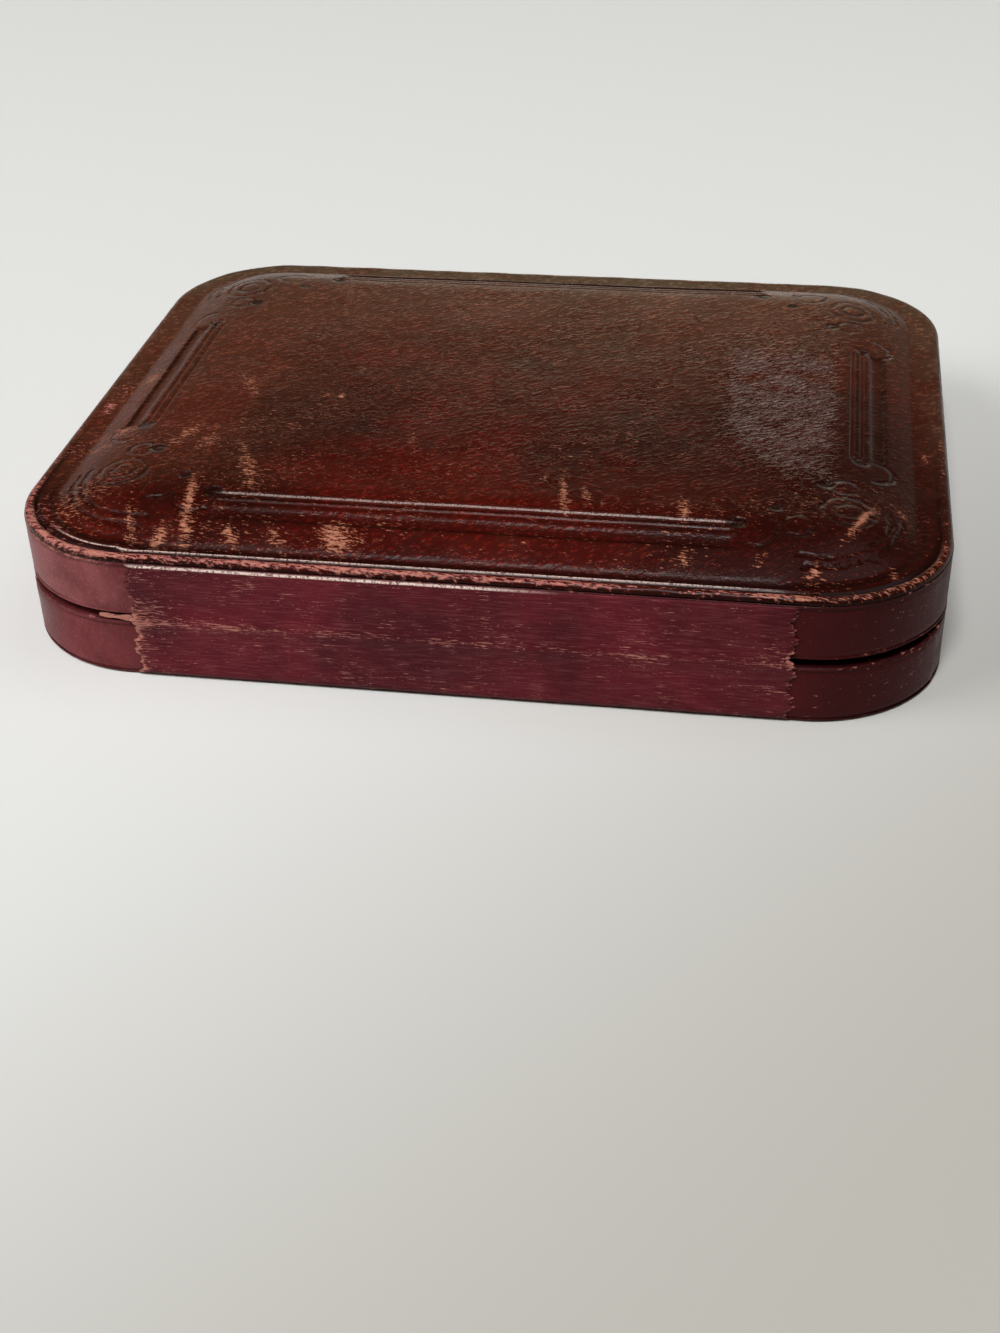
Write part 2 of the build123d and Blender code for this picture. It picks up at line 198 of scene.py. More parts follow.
def fill(node, values):
    # a field is linked to its input, and anything else becomes the input's value
    for key, value in values.items():
        if isinstance(value, Field):
            value.tree.links.new(value.socket, node.inputs[key])
        else:
            node.inputs[key].default_value = value


def addNode(tree, kind, values, output=0, **settings):
    # a new node, given back as the field that comes out of it
    node = tree.nodes.new(kind)
    for key, value in settings.items():
        setattr(node, key, value)
    fill(node, values)
    return Field(tree, node.outputs[output])


def calc(operation, *values):
    tree = next(value.tree for value in values if isinstance(value, Field))
    return addNode(tree, "ShaderNodeMath", dict(enumerate(values)), operation=operation)


def vector(operation, first, *others):
    output = 1 if operation in ("LENGTH", "DISTANCE", "DOT_PRODUCT") else 0
    values = dict(enumerate((first, *others)))
    return addNode(first.tree, "ShaderNodeVectorMath", values, output, operation=operation)


def scaled(field, factor):
    values = {0: field, "Scale": factor}
    return addNode(field.tree, "ShaderNodeVectorMath", values, operation="SCALE")


def fade(field, low, high, start=0.0, end=1.0):
    # smooth step of a field from start at low to end at high
    values = {"Value": field, "From Min": low, "From Max": high, "To Min": start, "To Max": end}
    return addNode(field.tree, "ShaderNodeMapRange", values, interpolation_type="SMOOTHSTEP")


def blendColour(factor, first, second):
    colours = [(*tone, 1) if isinstance(tone, tuple) else tone for tone in (first, second)]
    values = {0: factor, 6: colours[0], 7: colours[1]}
    return addNode(factor.tree, "ShaderNodeMix", values, 2, data_type="RGBA")


def noise(where, scale, detail=2.0, roughness=0.5, distortion=0.0):
    values = {"Vector": where, "Scale": scale, "Detail": detail}
    values.update({"Roughness": roughness, "Distortion": distortion})
    return addNode(where.tree, "ShaderNodeTexNoise", values)


def cells(where, scale, smoothness):
    # distance to the nearest of scattered points, rounded off where two cells meet
    values = {"Vector": where, "Scale": scale, "Smoothness": smoothness}
    return addNode(where.tree, "ShaderNodeTexVoronoi", values, "Distance", feature="SMOOTH_F1")


def bands(where, direction, scale, distortion, detail):
    values = {"Vector": where, "Scale": scale, "Distortion": distortion, "Detail": detail}
    settings = {"wave_type": "BANDS", "bands_direction": direction}
    return addNode(where.tree, "ShaderNodeTexWave", values, "Fac", **settings)


def turned(where, degrees, stretch=(1, 1, 1)):
    # pattern turned in the XY plane, then stretched along its own axes
    values = {"Vector": where, "Rotation": (0, 0, math.radians(degrees)), "Scale": stretch}
    return addNode(where.tree, "ShaderNodeMapping", values, vector_type="TEXTURE")


def attribute(where, name):
    return addNode(where.tree, "ShaderNodeAttribute", {}, "Fac", attribute_name=name)


def newMaterial(name):
    # the material, its shader, and Object coordinates turned into millimetres
    material = bpy.data.materials.new(name)
    material.use_nodes = True
    tree = material.node_tree
    where = scaled(addNode(tree, "ShaderNodeTexCoord", {}, "Object"), 1 / mm)
    return material, tree.nodes["Principled BSDF"], where


def bumps(shader, height, distance, strength=1.0):
    values = {"Height": height, "Distance": distance, "Strength": strength}
    fill(shader, {"Normal": addNode(height.tree, "ShaderNodeBump", values)})


def give(piece, material):
    piece.data.materials.clear()
    piece.data.materials.append(material)


def dress(node, material):
    # a better material in every slot of a CAD node
    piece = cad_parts[node]
    for place in piece.material_slots:
        place.material = material


# What all the leather shares: scales of its noises, the way of its wrinkles, and their depth
skinForm = {
    "broad": 0.035,
    "patch": 0.11,
    "dash": 1.0,
    "speck": 2.6,
    "pores": 6.0,
    "smallGrain": 2.2,
    "wobble": 2.6,
    "wrinkle": 1.05,
    "wrinkleTurn": -30,
    "wrinkleStretch": (1.3, 0.62, 1),
    "contrast": 4.4,
    # colour of the painted highlight on glossy edges
    "paintedGleam": (0.85, 0.68, 0.62),
    "toolDeep": 1.8,
}
topLook = {
    # dark: colour of the painted shade where "deep" says
    "dark": (0.042, 0.0030, 0.0015),
    "shade": (0.042, 0.0030, 0.0015),
    "sheenLeast": 0.65,
    "red": (0.150, 0.0070, 0.0030),
    # brown: random brown patches, and the painted sheen where "aged" says
    "brown": (0.215, 0.058, 0.0260),
    "olive": (0.190, 0.118, 0.068),
    "scuff": (0.40, 0.15, 0.085),
    "bare": (0.56, 0.25, 0.165),
    # dark tone of dirt and painted shade in hollows, grooves and edges
    "dirtAndShade": (0.009, 0.0017, 0.0010),
    "grain": 1.1,
    "grainDeep": 0.00022,
    "grainTurn": 24,
    "grainStretch": (2.1, 1.0, 1.0),
    "rough": (0.25, 0.36),
    "polished": 0.16,
    "uneven": True,
    "patches": 0.28,
    "gloss": 0.13,
    "hollow": 0.6,
    "pink": (0.50, 0.165, 0.150),
    # crest and plum: colours of the painted sheen, pale wrinkle crests over a plum ground
    "crest": (0.30, 0.130, 0.145),
    "plum": (0.052, 0.009, 0.009),
    "rub": (0.19, 0.038, 0.016),
    "dashTurn": -6,
    "dashStretch": (1.2, 0.26, 1.0),
}
sideLook = {
    "olive": (0.16, 0.09, 0.08),
    "dark": (0.040, 0.0028, 0.0032),
    "shade": (0.095, 0.0066, 0.0105),
    "sheenLeast": 0.25,
    "red": (0.180, 0.0115, 0.0195),
    # brown: random brown patches, and the painted light where "aged" says
    "brown": (0.430, 0.135, 0.140),
    "scuff": (0.46, 0.17, 0.14),
    "bare": (0.58, 0.27, 0.20),
    "dirtAndShade": (0.014, 0.005, 0.005),
    "grain": 1.5,
    "grainDeep": 0.00004,
    "grainTurn": 0,
    "grainStretch": (1.0, 1.0, 1.0),
    "rough": (0.30, 0.48),
    "polished": 0.16,
    "gloss": 0.09,
    "patches": 0.12,
    "hollow": 0.25,
    "pink": (0.50, 0.20, 0.16),
    "crest": (0.25, 0.05, 0.06),
    "plum": (0.08, 0.010, 0.016),
    "rub": (0.25, 0.050, 0.050),
    "dashTurn": 0,
    "dashStretch": (1.3, 1.3, 0.28),
}
spineLook = {
    **sideLook,
    "dark": (0.075, 0.0060, 0.0120),
    "shade": (0.075, 0.0060, 0.0120),
    "red": (0.165, 0.0130, 0.0240),
    "grainDeep": 0.00003,
    "rough": (0.36, 0.52),
    "streaks": True,
}
bottomLook = {
    **sideLook,
    "grain": 1.0,
    "grainDeep": 0.00005,
    "rough": (0.5, 0.75),
}


def makeLeather(name, look, tooling=None):
    # Colour: dark and red leather mixed by broad noise, brown patches over them, darker hollows
    # between the cells of the grain. Painted shade lies in the dark tone where "deep" says, a
    # painted sheen in brown where "aged" says, and olive, much of it painted sheen, where "faded"
    # says. Bare hide shows in short dashes where stretched noise plus the "worn" attribute passes a
    # limit, and dirt and painted shade lie along channels, joints and edges. Where the polish
    # attribute says, the skin is glossier, with a painted sheen of greyed wrinkles on a plum ground
    # where it is "grainy" and a pale painted highlight where it is "edging".
    # Bump: rounded cells of grain, stretched across the skin, with pores and wrinkles.
    form = skinForm
    material, shader, where = newMaterial(name)
    wobble = scaled(noise(where, 0.4, 3.0, 0.6), form["wobble"])
    bent = vector("ADD", turned(where, look["grainTurn"], look["grainStretch"]), wobble)
    crest = fade(cells(bent, look["grain"], 0.3), 0.10, 0.62, 1.0, 0.0)
    smallCrest = fade(cells(bent, look["grain"] * form["smallGrain"], 0.3), 0.08, 0.6, 1.0, 0.0)
    worn, soilAndShade, polishAndSheen, aged = (attribute(where, key) for key in ("worn", "soilAndShade", "polishAndSheen", "aged"))
    grainy, edging = attribute(where, "grainy"), attribute(where, "edging")
    broad = noise(where, form["broad"], 4.0, 0.6, 0.4)
    patch = noise(where, form["patch"], 5.0, 0.65, 0.6)
    dash = noise(turned(where, look["dashTurn"], look["dashStretch"]), form["dash"], 3.0, 0.6)
    speck = noise(where, form["speck"], 3.0, 0.6)
    base = blendColour(fade(broad, 0.34, 0.66), look["shade"], look["red"])
    # painted sheen: brown where the "aged" attribute says, over brown patches of random tone
    patched = fade(patch, 0.45, 0.72) * look["patches"] * fade(aged, 0.0, 0.6, 0.35, 1.0)
    sheenPatch = aged * fade(patch, 0.30, 0.60, look["sheenLeast"], 0.65)
    base = blendColour(patched + sheenPatch, base, look["brown"])
    # painted shade: the dark tone where the "deep" attribute says, on the side away from the light
    base = blendColour(attribute(where, "deep") * 0.9, base, look["dark"])
    # olive where the "faded" attribute says, much of it painted sheen
    faded = attribute(where, "faded") * fade(patch, 0.3, 0.6, 0.4, 1.0)
    base = blendColour(faded, base, look["olive"])
    relief = crest * 0.62 + smallCrest * 0.38
    hollow = fade(relief, 0.30, 0.72, 1.0, 0.0)
    base = blendColour(hollow * look["hollow"], base, look["dirtAndShade"])
    # painted sheen on the glossier skin: long wrinkles with pale painted crests over a plum ground
    paintedSheen = fade(polishAndSheen * fade(grainy, 0.3, 0.9) * 0.72 + patch * 0.5, 0.52, 1.02)
    creased = turned(bent, form["wrinkleTurn"], form["wrinkleStretch"])
    wrinkle = noise(creased, form["wrinkle"], 3.0, 0.62, 0.4)
    wrinkled = fade(wrinkle, 0.44, 0.58) * fade(relief, 0.46, 0.74, 0.08, 1.0)
    wrinkled = paintedSheen * wrinkled
    base = blendColour(paintedSheen * 0.7, base, look["plum"])
    base = blendColour(wrinkled, base, look["crest"])
    # painted shade in the valleys between the wrinkles of the painted sheen
    valleyShade = paintedSheen * fade(wrinkle, 0.38, 0.47, 0.65, 0.0)
    base = blendColour(valleyShade, base, look["dirtAndShade"])
    # dashes of bare hide: (noise - 0.5) * contrast + worn, with a brown halo round them
    rubbed = dash * 0.72 + speck * 0.28
    amount = (rubbed - 0.5) * form["contrast"] + worn
    bare = fade(amount, 0.80, 0.97)
    base = blendColour(fade(amount, 0.62, 0.92) * 0.5, base, look["rub"])
    base = blendColour(bare * 0.85, base, blendColour(edging, look["scuff"], look["pink"]))
    base = blendColour(fade(amount, 1.05, 1.4) * 0.75, base, look["bare"])
    # dirt and painted shade along channels, grooves, joints and edges, broken where the hide is
    # rubbed
    grimeAndShade = soilAndShade * fade(rubbed, 0.78, 0.50)
    base = blendColour(grimeAndShade * 0.92, base, look["dirtAndShade"])
    # painted highlight: a pale colour on the glossy edges, broken by specks
    paintedGleam = polishAndSheen * edging * fade(speck, 0.38, 0.52, 0.15, 1.0)
    base = blendColour(paintedGleam, base, form["paintedGleam"])
    pores = noise(where, form["pores"], 4.0, 0.65)
    height = crest * 0.6 + smallCrest * 0.3 + pores * 0.08 + wrinkled * 0.9 - bare * 0.25
    if look.get("uneven"):
        height = height * grainy
    if look.get("streaks"):
        # short scratches along the strip, thickest at the hinge line and near the ends
        lines = noise(turned(where, 1, (2.6, 1.0, 0.17)), 1.0, 3.0, 0.72)
        clumps = (noise(turned(where, 0, (1.6, 1.0, 1.0)), 0.20, 4.0, 0.65) - 0.5) * 2.2
        scratch = fade((lines - 0.5) * 4.0 + (worn + clumps), 0.74, 0.86)
        base = blendColour(scratch * 0.85, base, look["pink"])
        fibres = noise(turned(where, 0, (6.0, 1.0, 0.3)), 1.6, 3.0, 0.6)
        base = blendColour(fade(fibres, 0.45, 0.8) * 0.25, base, look["brown"])
        height = height + fibres - scratch * 0.5
    if tooling:
        press = tooling(where)
        base = blendColour(press * 0.6, base, look["dirtAndShade"])
        height = height * fade(press, 0.0, 1.0, 1.0, 0.6) - press * form["toolDeep"]
    rough = fade(patch, 0.3, 0.7, *look["rough"]) + bare * 0.2
    rough = rough + (look["polished"] - rough) * polishAndSheen
    fill(shader, {"Base Color": base, "Roughness": rough, "Specular IOR Level": look["gloss"]})
    bumps(shader, height, look["grainDeep"])
    return material


# Blind tooling in each corner, for one corner, as distances from the middle of the case in
# millimetres: rings and arcs of a strapwork scroll, and round dots at the ends of the rules.
cornerTool = {
    "line": 0.5,
    "shake": 1.5,
    "rings": [((58.7, 38.4), 4.1), ((58.7, 38.4), 2.0), ((51.0, 43.6), 2.6), ((58.0, 31.0), 2.0)],
    "arcs": [
        ((53.4, 38.7), 13.4, (1, 1), 0.62),
        ((53.4, 38.7), 11.6, (1, 1), 0.55),
        ((62.4, 23.6), 3.3, (1, -0.2), -0.35),
        ((44.6, 45.4), 3.3, (-0.2, 1), -0.35),
    ],
    "dots": [((60.4, 21.5), 1.7), ((55.2, 30.8), 1.7), ((41.8, 43.8), 1.8), ((47.6, 39.2), 1.2)],
    "dotDeep": 1.3,
}


def cornerTooling(where):
    # Distance to each ring or arc, the least of them turned into a stroke, and dots beside it.
    # One corner serves all four, because x and y lose their sign.
    form = cornerTool
    flat = vector("MULTIPLY", vector("ABSOLUTE", where), (1, 1, 0))
    shaken = vector("ADD", flat, scaled(noise(where, 0.3, 2.0), form["shake"]))
    shaken = vector("SUBTRACT", shaken, (form["shake"] / 2,) * 3)
    shaken = vector("MULTIPLY", shaken, (1, 1, 0))
    strokes = []
    for centre, radius in form["rings"]:
        strokes.append(calc("ABSOLUTE", vector("DISTANCE", shaken, (*centre, 0)) - radius))
    for centre, radius, facing, least in form["arcs"]:
        length = math.hypot(*facing)
        way = (facing[0] / length, facing[1] / length, 0)
        offset = vector("SUBTRACT", shaken, (*centre, 0))
        away = calc("ABSOLUTE", vector("LENGTH", offset) - radius)
        reach = calc("DIVIDE", vector("DOT_PRODUCT", offset, way), radius)
        strokes.append(away + fade(reach, least - 0.06, least, 4.0, 0.0))
    nearest = strokes[0]
    for away in strokes[1:]:
        nearest = calc("MINIMUM", nearest, away)
    stroke = fade(nearest, form["line"] * 0.25, form["line"] * 1.6, 1.0, 0.0)
    stroke = stroke * fade(noise(where, 0.16, 3.0, 0.7), 0.40, 0.58, 0.25, 0.85)
    for centre, radius in form["dots"]:
        away = vector("DISTANCE", shaken, (*centre, 0))
        dot = fade(away, radius * 0.6, radius, form["dotDeep"], 0.0)
        stroke = calc("MAXIMUM", stroke, dot)
    return stroke * fade(noise(where, 0.25, 3.0), 0.3, 0.55, 0.45, 1.0)


topForm = {
    "beadStart": 0.25,
    "beadWide": 1.8,
    "beadHigh": 0.78,
    "channelDeep": 0.12,
    "openRise": 0.55,
    "openBlend": 0.12,
    "openWide": 1.7,
    "ridgeAt": 3.4,
    "ridgeHigh": 0.38,
    "ridgeHalf": 0.3,
    "ridgeLong": 57.0,
    "crownStart": 5.2,
    "fieldStart": 2.4,
    "crownFoot": 0.2,
    "crownEnd": 20.0,
    "ruleInset": 11.9,
    "ruleHalf": 1.35,
    "ruleDeep": 0.40,
    "lineInsets": (14.5, 16.1),
    "lineHalf": 0.42,
    "lineDeep": 0.26,
    "ruleLong": 42.0,
    "ruleShort": 21.0,
    # insets of the rows: three under the bead, then first, last and number of each run
    "under": (1.1, 0.75, 0.5),
    "rows": [
        (2.05, 2.9, 7),
        (3.0, 3.9, 8),
        (4.1, 6.2, 8),
        (6.8, 10.2, 5),
        (10.4, 13.4, 13),
        (13.9, 16.7, 20),
    ],
    "lastFrom": 17.3,
    "innerRings": 42,
    # dirt and painted shade beside the rules: strength, inset and half width; lip with a painted
    # highlight
    "ruleDirtAndShade": [(0.9, 10.7, 0.4), (0.7, 13.75, 0.28), (0.8, 15.3, 0.28), (0.6, 16.9, 0.28)],
    "lipAt": 16.5,
}
# Rubbed places on the top: middle x and y, half width, half length, lean, strength
topScuffs = [
    (45.0, 47.0, 1.0, 8.5, -0.13, 1.0),
    (53.5, 51.5, 1.2, 4.8, -0.28, 0.8),
    (48.0, 54.2, 1.2, 2.6, 0.1, 0.95),
    (38.7, 34.5, 1.1, 7.0, -0.37, 0.72),
    (52.0, 24.8, 1.1, 4.2, 0.3, 0.8),
    (47.6, 27.5, 1.8, 2.6, 0.2, 0.62),
    (20.0, 51.8, 2.7, 3.0, -0.4, 0.85),
    (29.3, 52.7, 1.5, 2.4, -0.5, 0.62),
    (36.5, 53.0, 1.3, 1.8, -0.5, 0.7),
    (13.6, 23.0, 1.1, 3.3, -0.3, 0.6),
    (45.8, 6.3, 1.7, 4.2, -0.5, 0.7),
    (31.8, 7.9, 0.9, 1.0, 0.0, 0.8),
    (29.3, 7.6, 0.9, 1.3, 0.0, 0.8),
    (28.0, -3.0, 1.9, 1.5, 0.4, 0.7),
    (20.0, 36.0, 2.8, 0.9, 0.0, 0.6),
    (66.5, -0.3, 1.6, 2.0, 0.0, 0.62),
    (71.5, 9.7, 1.2, 2.4, 0.0, 0.6),
    (64.5, 22.5, 2.6, 1.3, 0.4, 0.75),
    (67.0, 27.5, 2.2, 1.0, 0.2, 0.7),
    (-14.0, 37.8, 0.9, 6.4, -0.15, 1.0),
    (-10.4, 33.9, 0.7, 1.7, 0.0, 0.9),
    (-17.5, 38.0, 0.9, 2.8, -0.3, 0.9),
    (-31.8, 23.7, 1.5, 1.2, 0.0, 0.6),
    (-33.4, 40.7, 1.0, 3.6, -0.1, 0.75),
    (-35.0, 32.5, 0.8, 1.5, 0.0, 0.65),
    (-60.5, 40.8, 1.0, 5.6, 0.42, 1.0),
    (-66.5, 34.3, 0.8, 2.2, -0.9, 0.75),
    (-53.7, 53.2, 1.0, 2.4, 0.2, 0.85),
    (-65.5, 51.0, 0.9, 2.0, 0.0, 0.75),
    (-45.5, 51.8, 1.6, 1.8, 0.3, 0.65),
    (-34.4, 51.8, 1.0, 2.6, 0.0, 0.6),
    (-25.9, -1.7, 1.5, 0.9, 0.2, 0.75),
    (-31.2, -0.4, 0.8, 0.8, 0.0, 0.75),
    (-13.7, 9.0, 0.9, 1.1, 0.0, 0.8),
    (-6.6, -9.3, 1.4, 1.1, 0.3, 0.65),
    (-17.1, -11.8, 1.6, 0.8, 0.2, 0.65),
    (-21.7, -32.0, 1.3, 1.5, 0.0, 0.6),
    (-24.5, -42.0, 2.0, 2.8, 0.1, 0.55),
    (-65.9, -12.5, 1.3, 1.1, 0.3, 0.8),
    (-71.0, 13.4, 0.8, 1.4, 0.0, 0.7),
]


def lidHeight(inset, beaded, backed):
    # Height above the channel's level against inset. Where beaded is 1, an ellipse stands on the
    # rim as a bead; where it is 0 the field runs out to the rim and rolls over it as a quarter of
    # an ellipse. The field is an arc of a circle, level past its end. Where backed is 1, along
    # the spine, it starts further in, and a bell makes a fine ridge in the wider channel.
    form = topForm
    start, wide, low = form["beadStart"], form["beadWide"], -form["channelDeep"]
    across = np.clip((inset - start - wide / 2) / (wide / 2), -1, 1)
    foot = np.where(across < 0, beadFoot - channelLevel, low)
    bead = form["beadHigh"] - (form["beadHigh"] - foot) * (1 - np.sqrt(1 - across**2))
    run = form["crownEnd"] - form["crownStart"]
    rise = topHigh - channelLevel - form["crownFoot"]
    radius = (run**2 + rise**2) / (2 * rise)
    back = np.clip(form["crownEnd"] - inset, 0, run)
    arc = form["crownFoot"] + rise - radius + np.sqrt(radius**2 - back**2)
    level = form["openRise"]
    plain = (arc + level + np.sqrt((arc - level) ** 2 + form["openBlend"] ** 2)) / 2
    turn = np.clip((inset - start) / form["openWide"], 0, 1)
    drop = (level + 0.02 - beadFoot + channelLevel) * (1 - np.sqrt(1 - (1 - turn) ** 2))
    fieldStart = form["fieldStart"] + (form["crownStart"] - form["fieldStart"]) * backed
    share = smooth(inset, fieldStart - 0.9, fieldStart + 0.7)
    field = (arc * backed + plain * (1 - backed)) * share + low * (1 - share)
    ridge = form["ridgeHigh"] * bell(inset, form["ridgeAt"], form["ridgeHalf"])
    held = np.where(inset < start + wide, bead, np.maximum(field, low) + ridge * backed)
    free = plain - drop
    return free + (held - free) * beaded


def ruleMask(core, normal):
    # 1 along the straight rules of a side, 0 past their rounded ends
    onLong = np.abs(normal[:, 1]) > 0.9999
    onShort = np.abs(normal[:, 0]) > 0.9999
    along = np.where(onLong, np.abs(core[:, 0]), np.abs(core[:, 1]))
    end = np.where(onLong, topForm["ruleLong"], topForm["ruleShort"])
    return np.where(onLong | onShort, 1 - smooth(along, end - 1.2, end + 0.3), 0)


def trough(inset, middle, half):
    # round-bottomed groove: 1 in the middle, 0 past half
    return np.clip(1 - np.abs((inset - middle) / half) ** 3, 0, 1)


def scuffField(x, y):
    # the strongest of the rubbed places: a bell round a leaning stroke
    field = np.zeros_like(x)
    for middleX, middleY, halfWide, halfLong, lean, strength in topScuffs:
        dy = y - middleY
        dx = x - middleX - lean * dy
        spot = strength * np.exp(-((dx / halfWide / 0.85) ** 2) - (np.abs(dy) / halfLong) ** 3)
        field = np.maximum(field, spot)
    return field


def topWear(x, y, inset):
    # worst on the bead of the back edge and at the corners, scuffs on the field
    backness = smooth(y, 20, 58)
    uneven = 0.22 * ripple(x, y, 30, 8) + 0.10 * ripple(x, y, 7, 10)
    bead = bell(inset, 1.0, 0.85, 4) * (0.30 + 0.58 * backness + uneven)
    bead = bead + 0.3 * smooth(x, 44, 62) * smooth(y, 28, 44) * (inset < 2.0)
    bead = bead - 0.14 * smooth(-x, -5, 25) * (1 - smooth(-x, 50, 60))
    ridge = 0.36 * bell(inset, topForm["ridgeAt"], 0.3) * backness
    general = 0.20 * smooth(y, -30, 55) + 0.14 * smooth(x, 0, 60) * smooth(y, -30, 30) + 0.08
    general = general - 0.03 + 0.22 * ripple(x, y, 20, 9)
    general = general + 0.08 * smooth(x, -40, 20) * bell(y, -8, 26)
    field = scuffField(x, y) * 0.86 + general
    return np.clip(np.where(inset < 2.0, bead, np.maximum(field, ridge)), 0, 1.2)


def makeLidTop():
    # Rows of the skin follow the outline at growing insets: under the bead, over it, through the
    # channel and over the ridge, then the field, with closer rows at the rules. Further in, rows
    # shrink towards the middle.
    form = topForm
    core, normal = stationsRound(caseForm["step"])
    count = len(core)
    runs = [np.linspace(*run) for run in form["rows"]]
    turn = 1 - np.cos(np.linspace(0.02, np.pi, 18))
    bead = form["beadStart"] + form["beadWide"] / 2 * turn
    last = np.linspace(form["lastFrom"], caseForm["corner"] - 0.02, 6)
    insets = np.concatenate([form["under"], bead, *runs, last])
    level = insets[:, None]
    x, y = insetPoints(core, normal, level)
    along = 1 - smooth(np.abs(core[:, 0]), form["ridgeLong"] - 9, form["ridgeLong"])
    backed = np.where(normal[:, 1] > 0.9999, along, 0)
    beaded = smooth(normal[:, 1], 0.0, 0.4)
    z = channelLevel + lidHeight(np.repeat(level, count, 1), beaded[None, :], backed[None, :])
    z[:3] = np.array([0.05, 0.03, 0.0])[:, None] + beadFoot
    mask = ruleMask(core, normal)[None, :]
    rule = trough(level, form["ruleInset"], form["ruleHalf"]) * mask
    lines = np.maximum(*[trough(level, at, form["lineHalf"]) for at in form["lineInsets"]]) * mask
    z = z - rule * form["ruleDeep"] - lines * form["lineDeep"]
    # edges of the leather pushed up beside the rule
    z = z + 0.06 * bell(level, form["ruleInset"] - 1.9, 0.5) * mask
    # the bead is not even: its height and width wander a little
    z = z + ((level < 1.9) & (level > 0.5)) * 0.06 * ripple(x, y, 9, 3)
    inward = 1 - (np.arange(1, form["innerRings"]) / form["innerRings"])[:, None]
    inner = np.full((len(inward), count), 30.0)
    x, y = (np.concatenate([place, place[-1] * inward]) for place in (x, y))
    z = np.concatenate([z, np.full_like(inner, topHigh)])
    inset = np.concatenate([np.repeat(level, count, 1), inner])
    uneven = 0.10 * ripple(x, y, 34, 5) + 0.035 * ripple(x, y, 9, 6) - 0.12
    z = z + smooth(inset, 6, 12) * uneven
    rows = len(x)
    points = np.concatenate([pointList(x, y, z), [[0, 0, z[-1].mean()]]])
    quads = gridFaces(rows, count, True)
    fans = fanFaces((rows - 1) * count + np.arange(count), rows * count)
    # dirt and painted shade: in the channel inside the bead, beside the ridge, at the outline and
    # in and beside the rules
    soilAndShade = bell(inset, 2.25, 0.3) * smooth(y, 0, 40)
    soilAndShade = soilAndShade + smooth(y, 20, 58) * (0.8 * bell(inset, 2.8, 0.4) + bell(inset, 4.6, 0.6))
    soilAndShade = soilAndShade + 0.9 * bell(inset, 0.28, 0.16)
    edges = sum(share * bell(level, at, half) for share, at, half in form["ruleDirtAndShade"])
    onRules = np.zeros_like(inset)
    onRules[: len(insets)] = 0.35 * rule + mask * edges
    onLines = np.zeros_like(inset)
    onLines[: len(insets)] = lines
    lip = np.zeros_like(inset)
    lip[: len(insets)] = mask * bell(level, form["lipAt"], 0.17)
    lip = lip * np.where(np.abs(normal[:, 0]) > 0.99, 0.35, 1)
    # faded: olive towards the rim, and a painted sheen along the far edge
    faded = (1 - smooth(inset, 0.5, 7)) * (0.35 + 0.4 * smooth(-y, 30, 56)) * (1 - smooth(y, 0, 40))
    faded = faded * (0.8 + 0.5 * ripple(x, y, 24, 14))
    faded = faded + 0.42 * smooth(-y, 10, 55) + 0.4 * smooth(-y, 53, 57)
    # one patch is polished by handling and carries a painted reflection; the ridge and the rules'
    # lips are glossier and carry a painted highlight
    edge = 36.0 + 0.6 * np.maximum(y - 13, 0)
    polishAndSheen = smooth(-x, edge - 2, edge + 4) * (1 - smooth(-x, 54, 59)) * smooth(y, -33, -10)
    polishAndSheen = polishAndSheen * (1 - smooth(y, 20, 40))
    polishAndSheen = polishAndSheen * np.clip(0.85 + 0.35 * ripple(x, y, 9, 12), 0, 1)
    grainy = 0.25 + 0.35 * smooth(inset, 14, 22) * smooth(-y, -45, 0)
    grainy = np.maximum(grainy, 1.3 * polishAndSheen) * smooth(inset, 1.8, 6) * (1 - onLines)
    # painted highlight along the fine ridge by the spine
    paintedGleam = bell(inset, form["ridgeAt"], 0.16, 4) * 0.95 * smooth(x, -55, -40) * smooth(y, 50, 57)
    polishAndSheen = np.where(np.abs(inset - form["ridgeAt"]) < 0.6, paintedGleam, polishAndSheen)
    polishAndSheen = np.maximum(np.where(inset < 2.2, 0, polishAndSheen), 0.5 * lip)
    # aged: painted sheen towards the far edge and towards +x
    aged = 1 - smooth(y, -62, 30) + 0.6 * smooth(x, 20, 60) * (1 - smooth(y, 32, 48))
    fields = {
        "aged": np.clip(aged, 0, 1),
        # painted shade, darker towards -x and towards the spine
        "deep": smooth(-x, 0, 60) * smooth(y, -35, 30),
        "faded": np.clip(faded, 0, 1),
        "grainy": grainy,
        "edging": np.where(inset < 4.5, 1 - 0.8 * smooth(-x, 35, 58), lip),
        "worn": topWear(x, y, inset),
        "soilAndShade": np.clip(soilAndShade + onRules, 0, 1),
        "polishAndSheen": polishAndSheen,
    }
    pole = {"grainy": 0.5}
    fields = {key: np.append(field, pole.get(key, 0.0)) for key, field in fields.items()}
    piece = buildMesh("lid_top_cover", points, quads, fans, fields)
    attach(piece, "lid")
    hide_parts("lid_top_leather")
    give(piece, makeLeather("tooled_top_leather", topLook, cornerTooling))
    print("top of the lid:", len(piece.data.polygons), "faces")
    return piece


topLow, topBox = limits("lid_top_leather")
topHigh = topBox[2]
beadFoot = topLow[2] + 0.45
rimLevel = limits("lid_board")[1][2] + 1.5
channelLevel = rimLevel - topForm["beadHigh"]
makeLidTop()


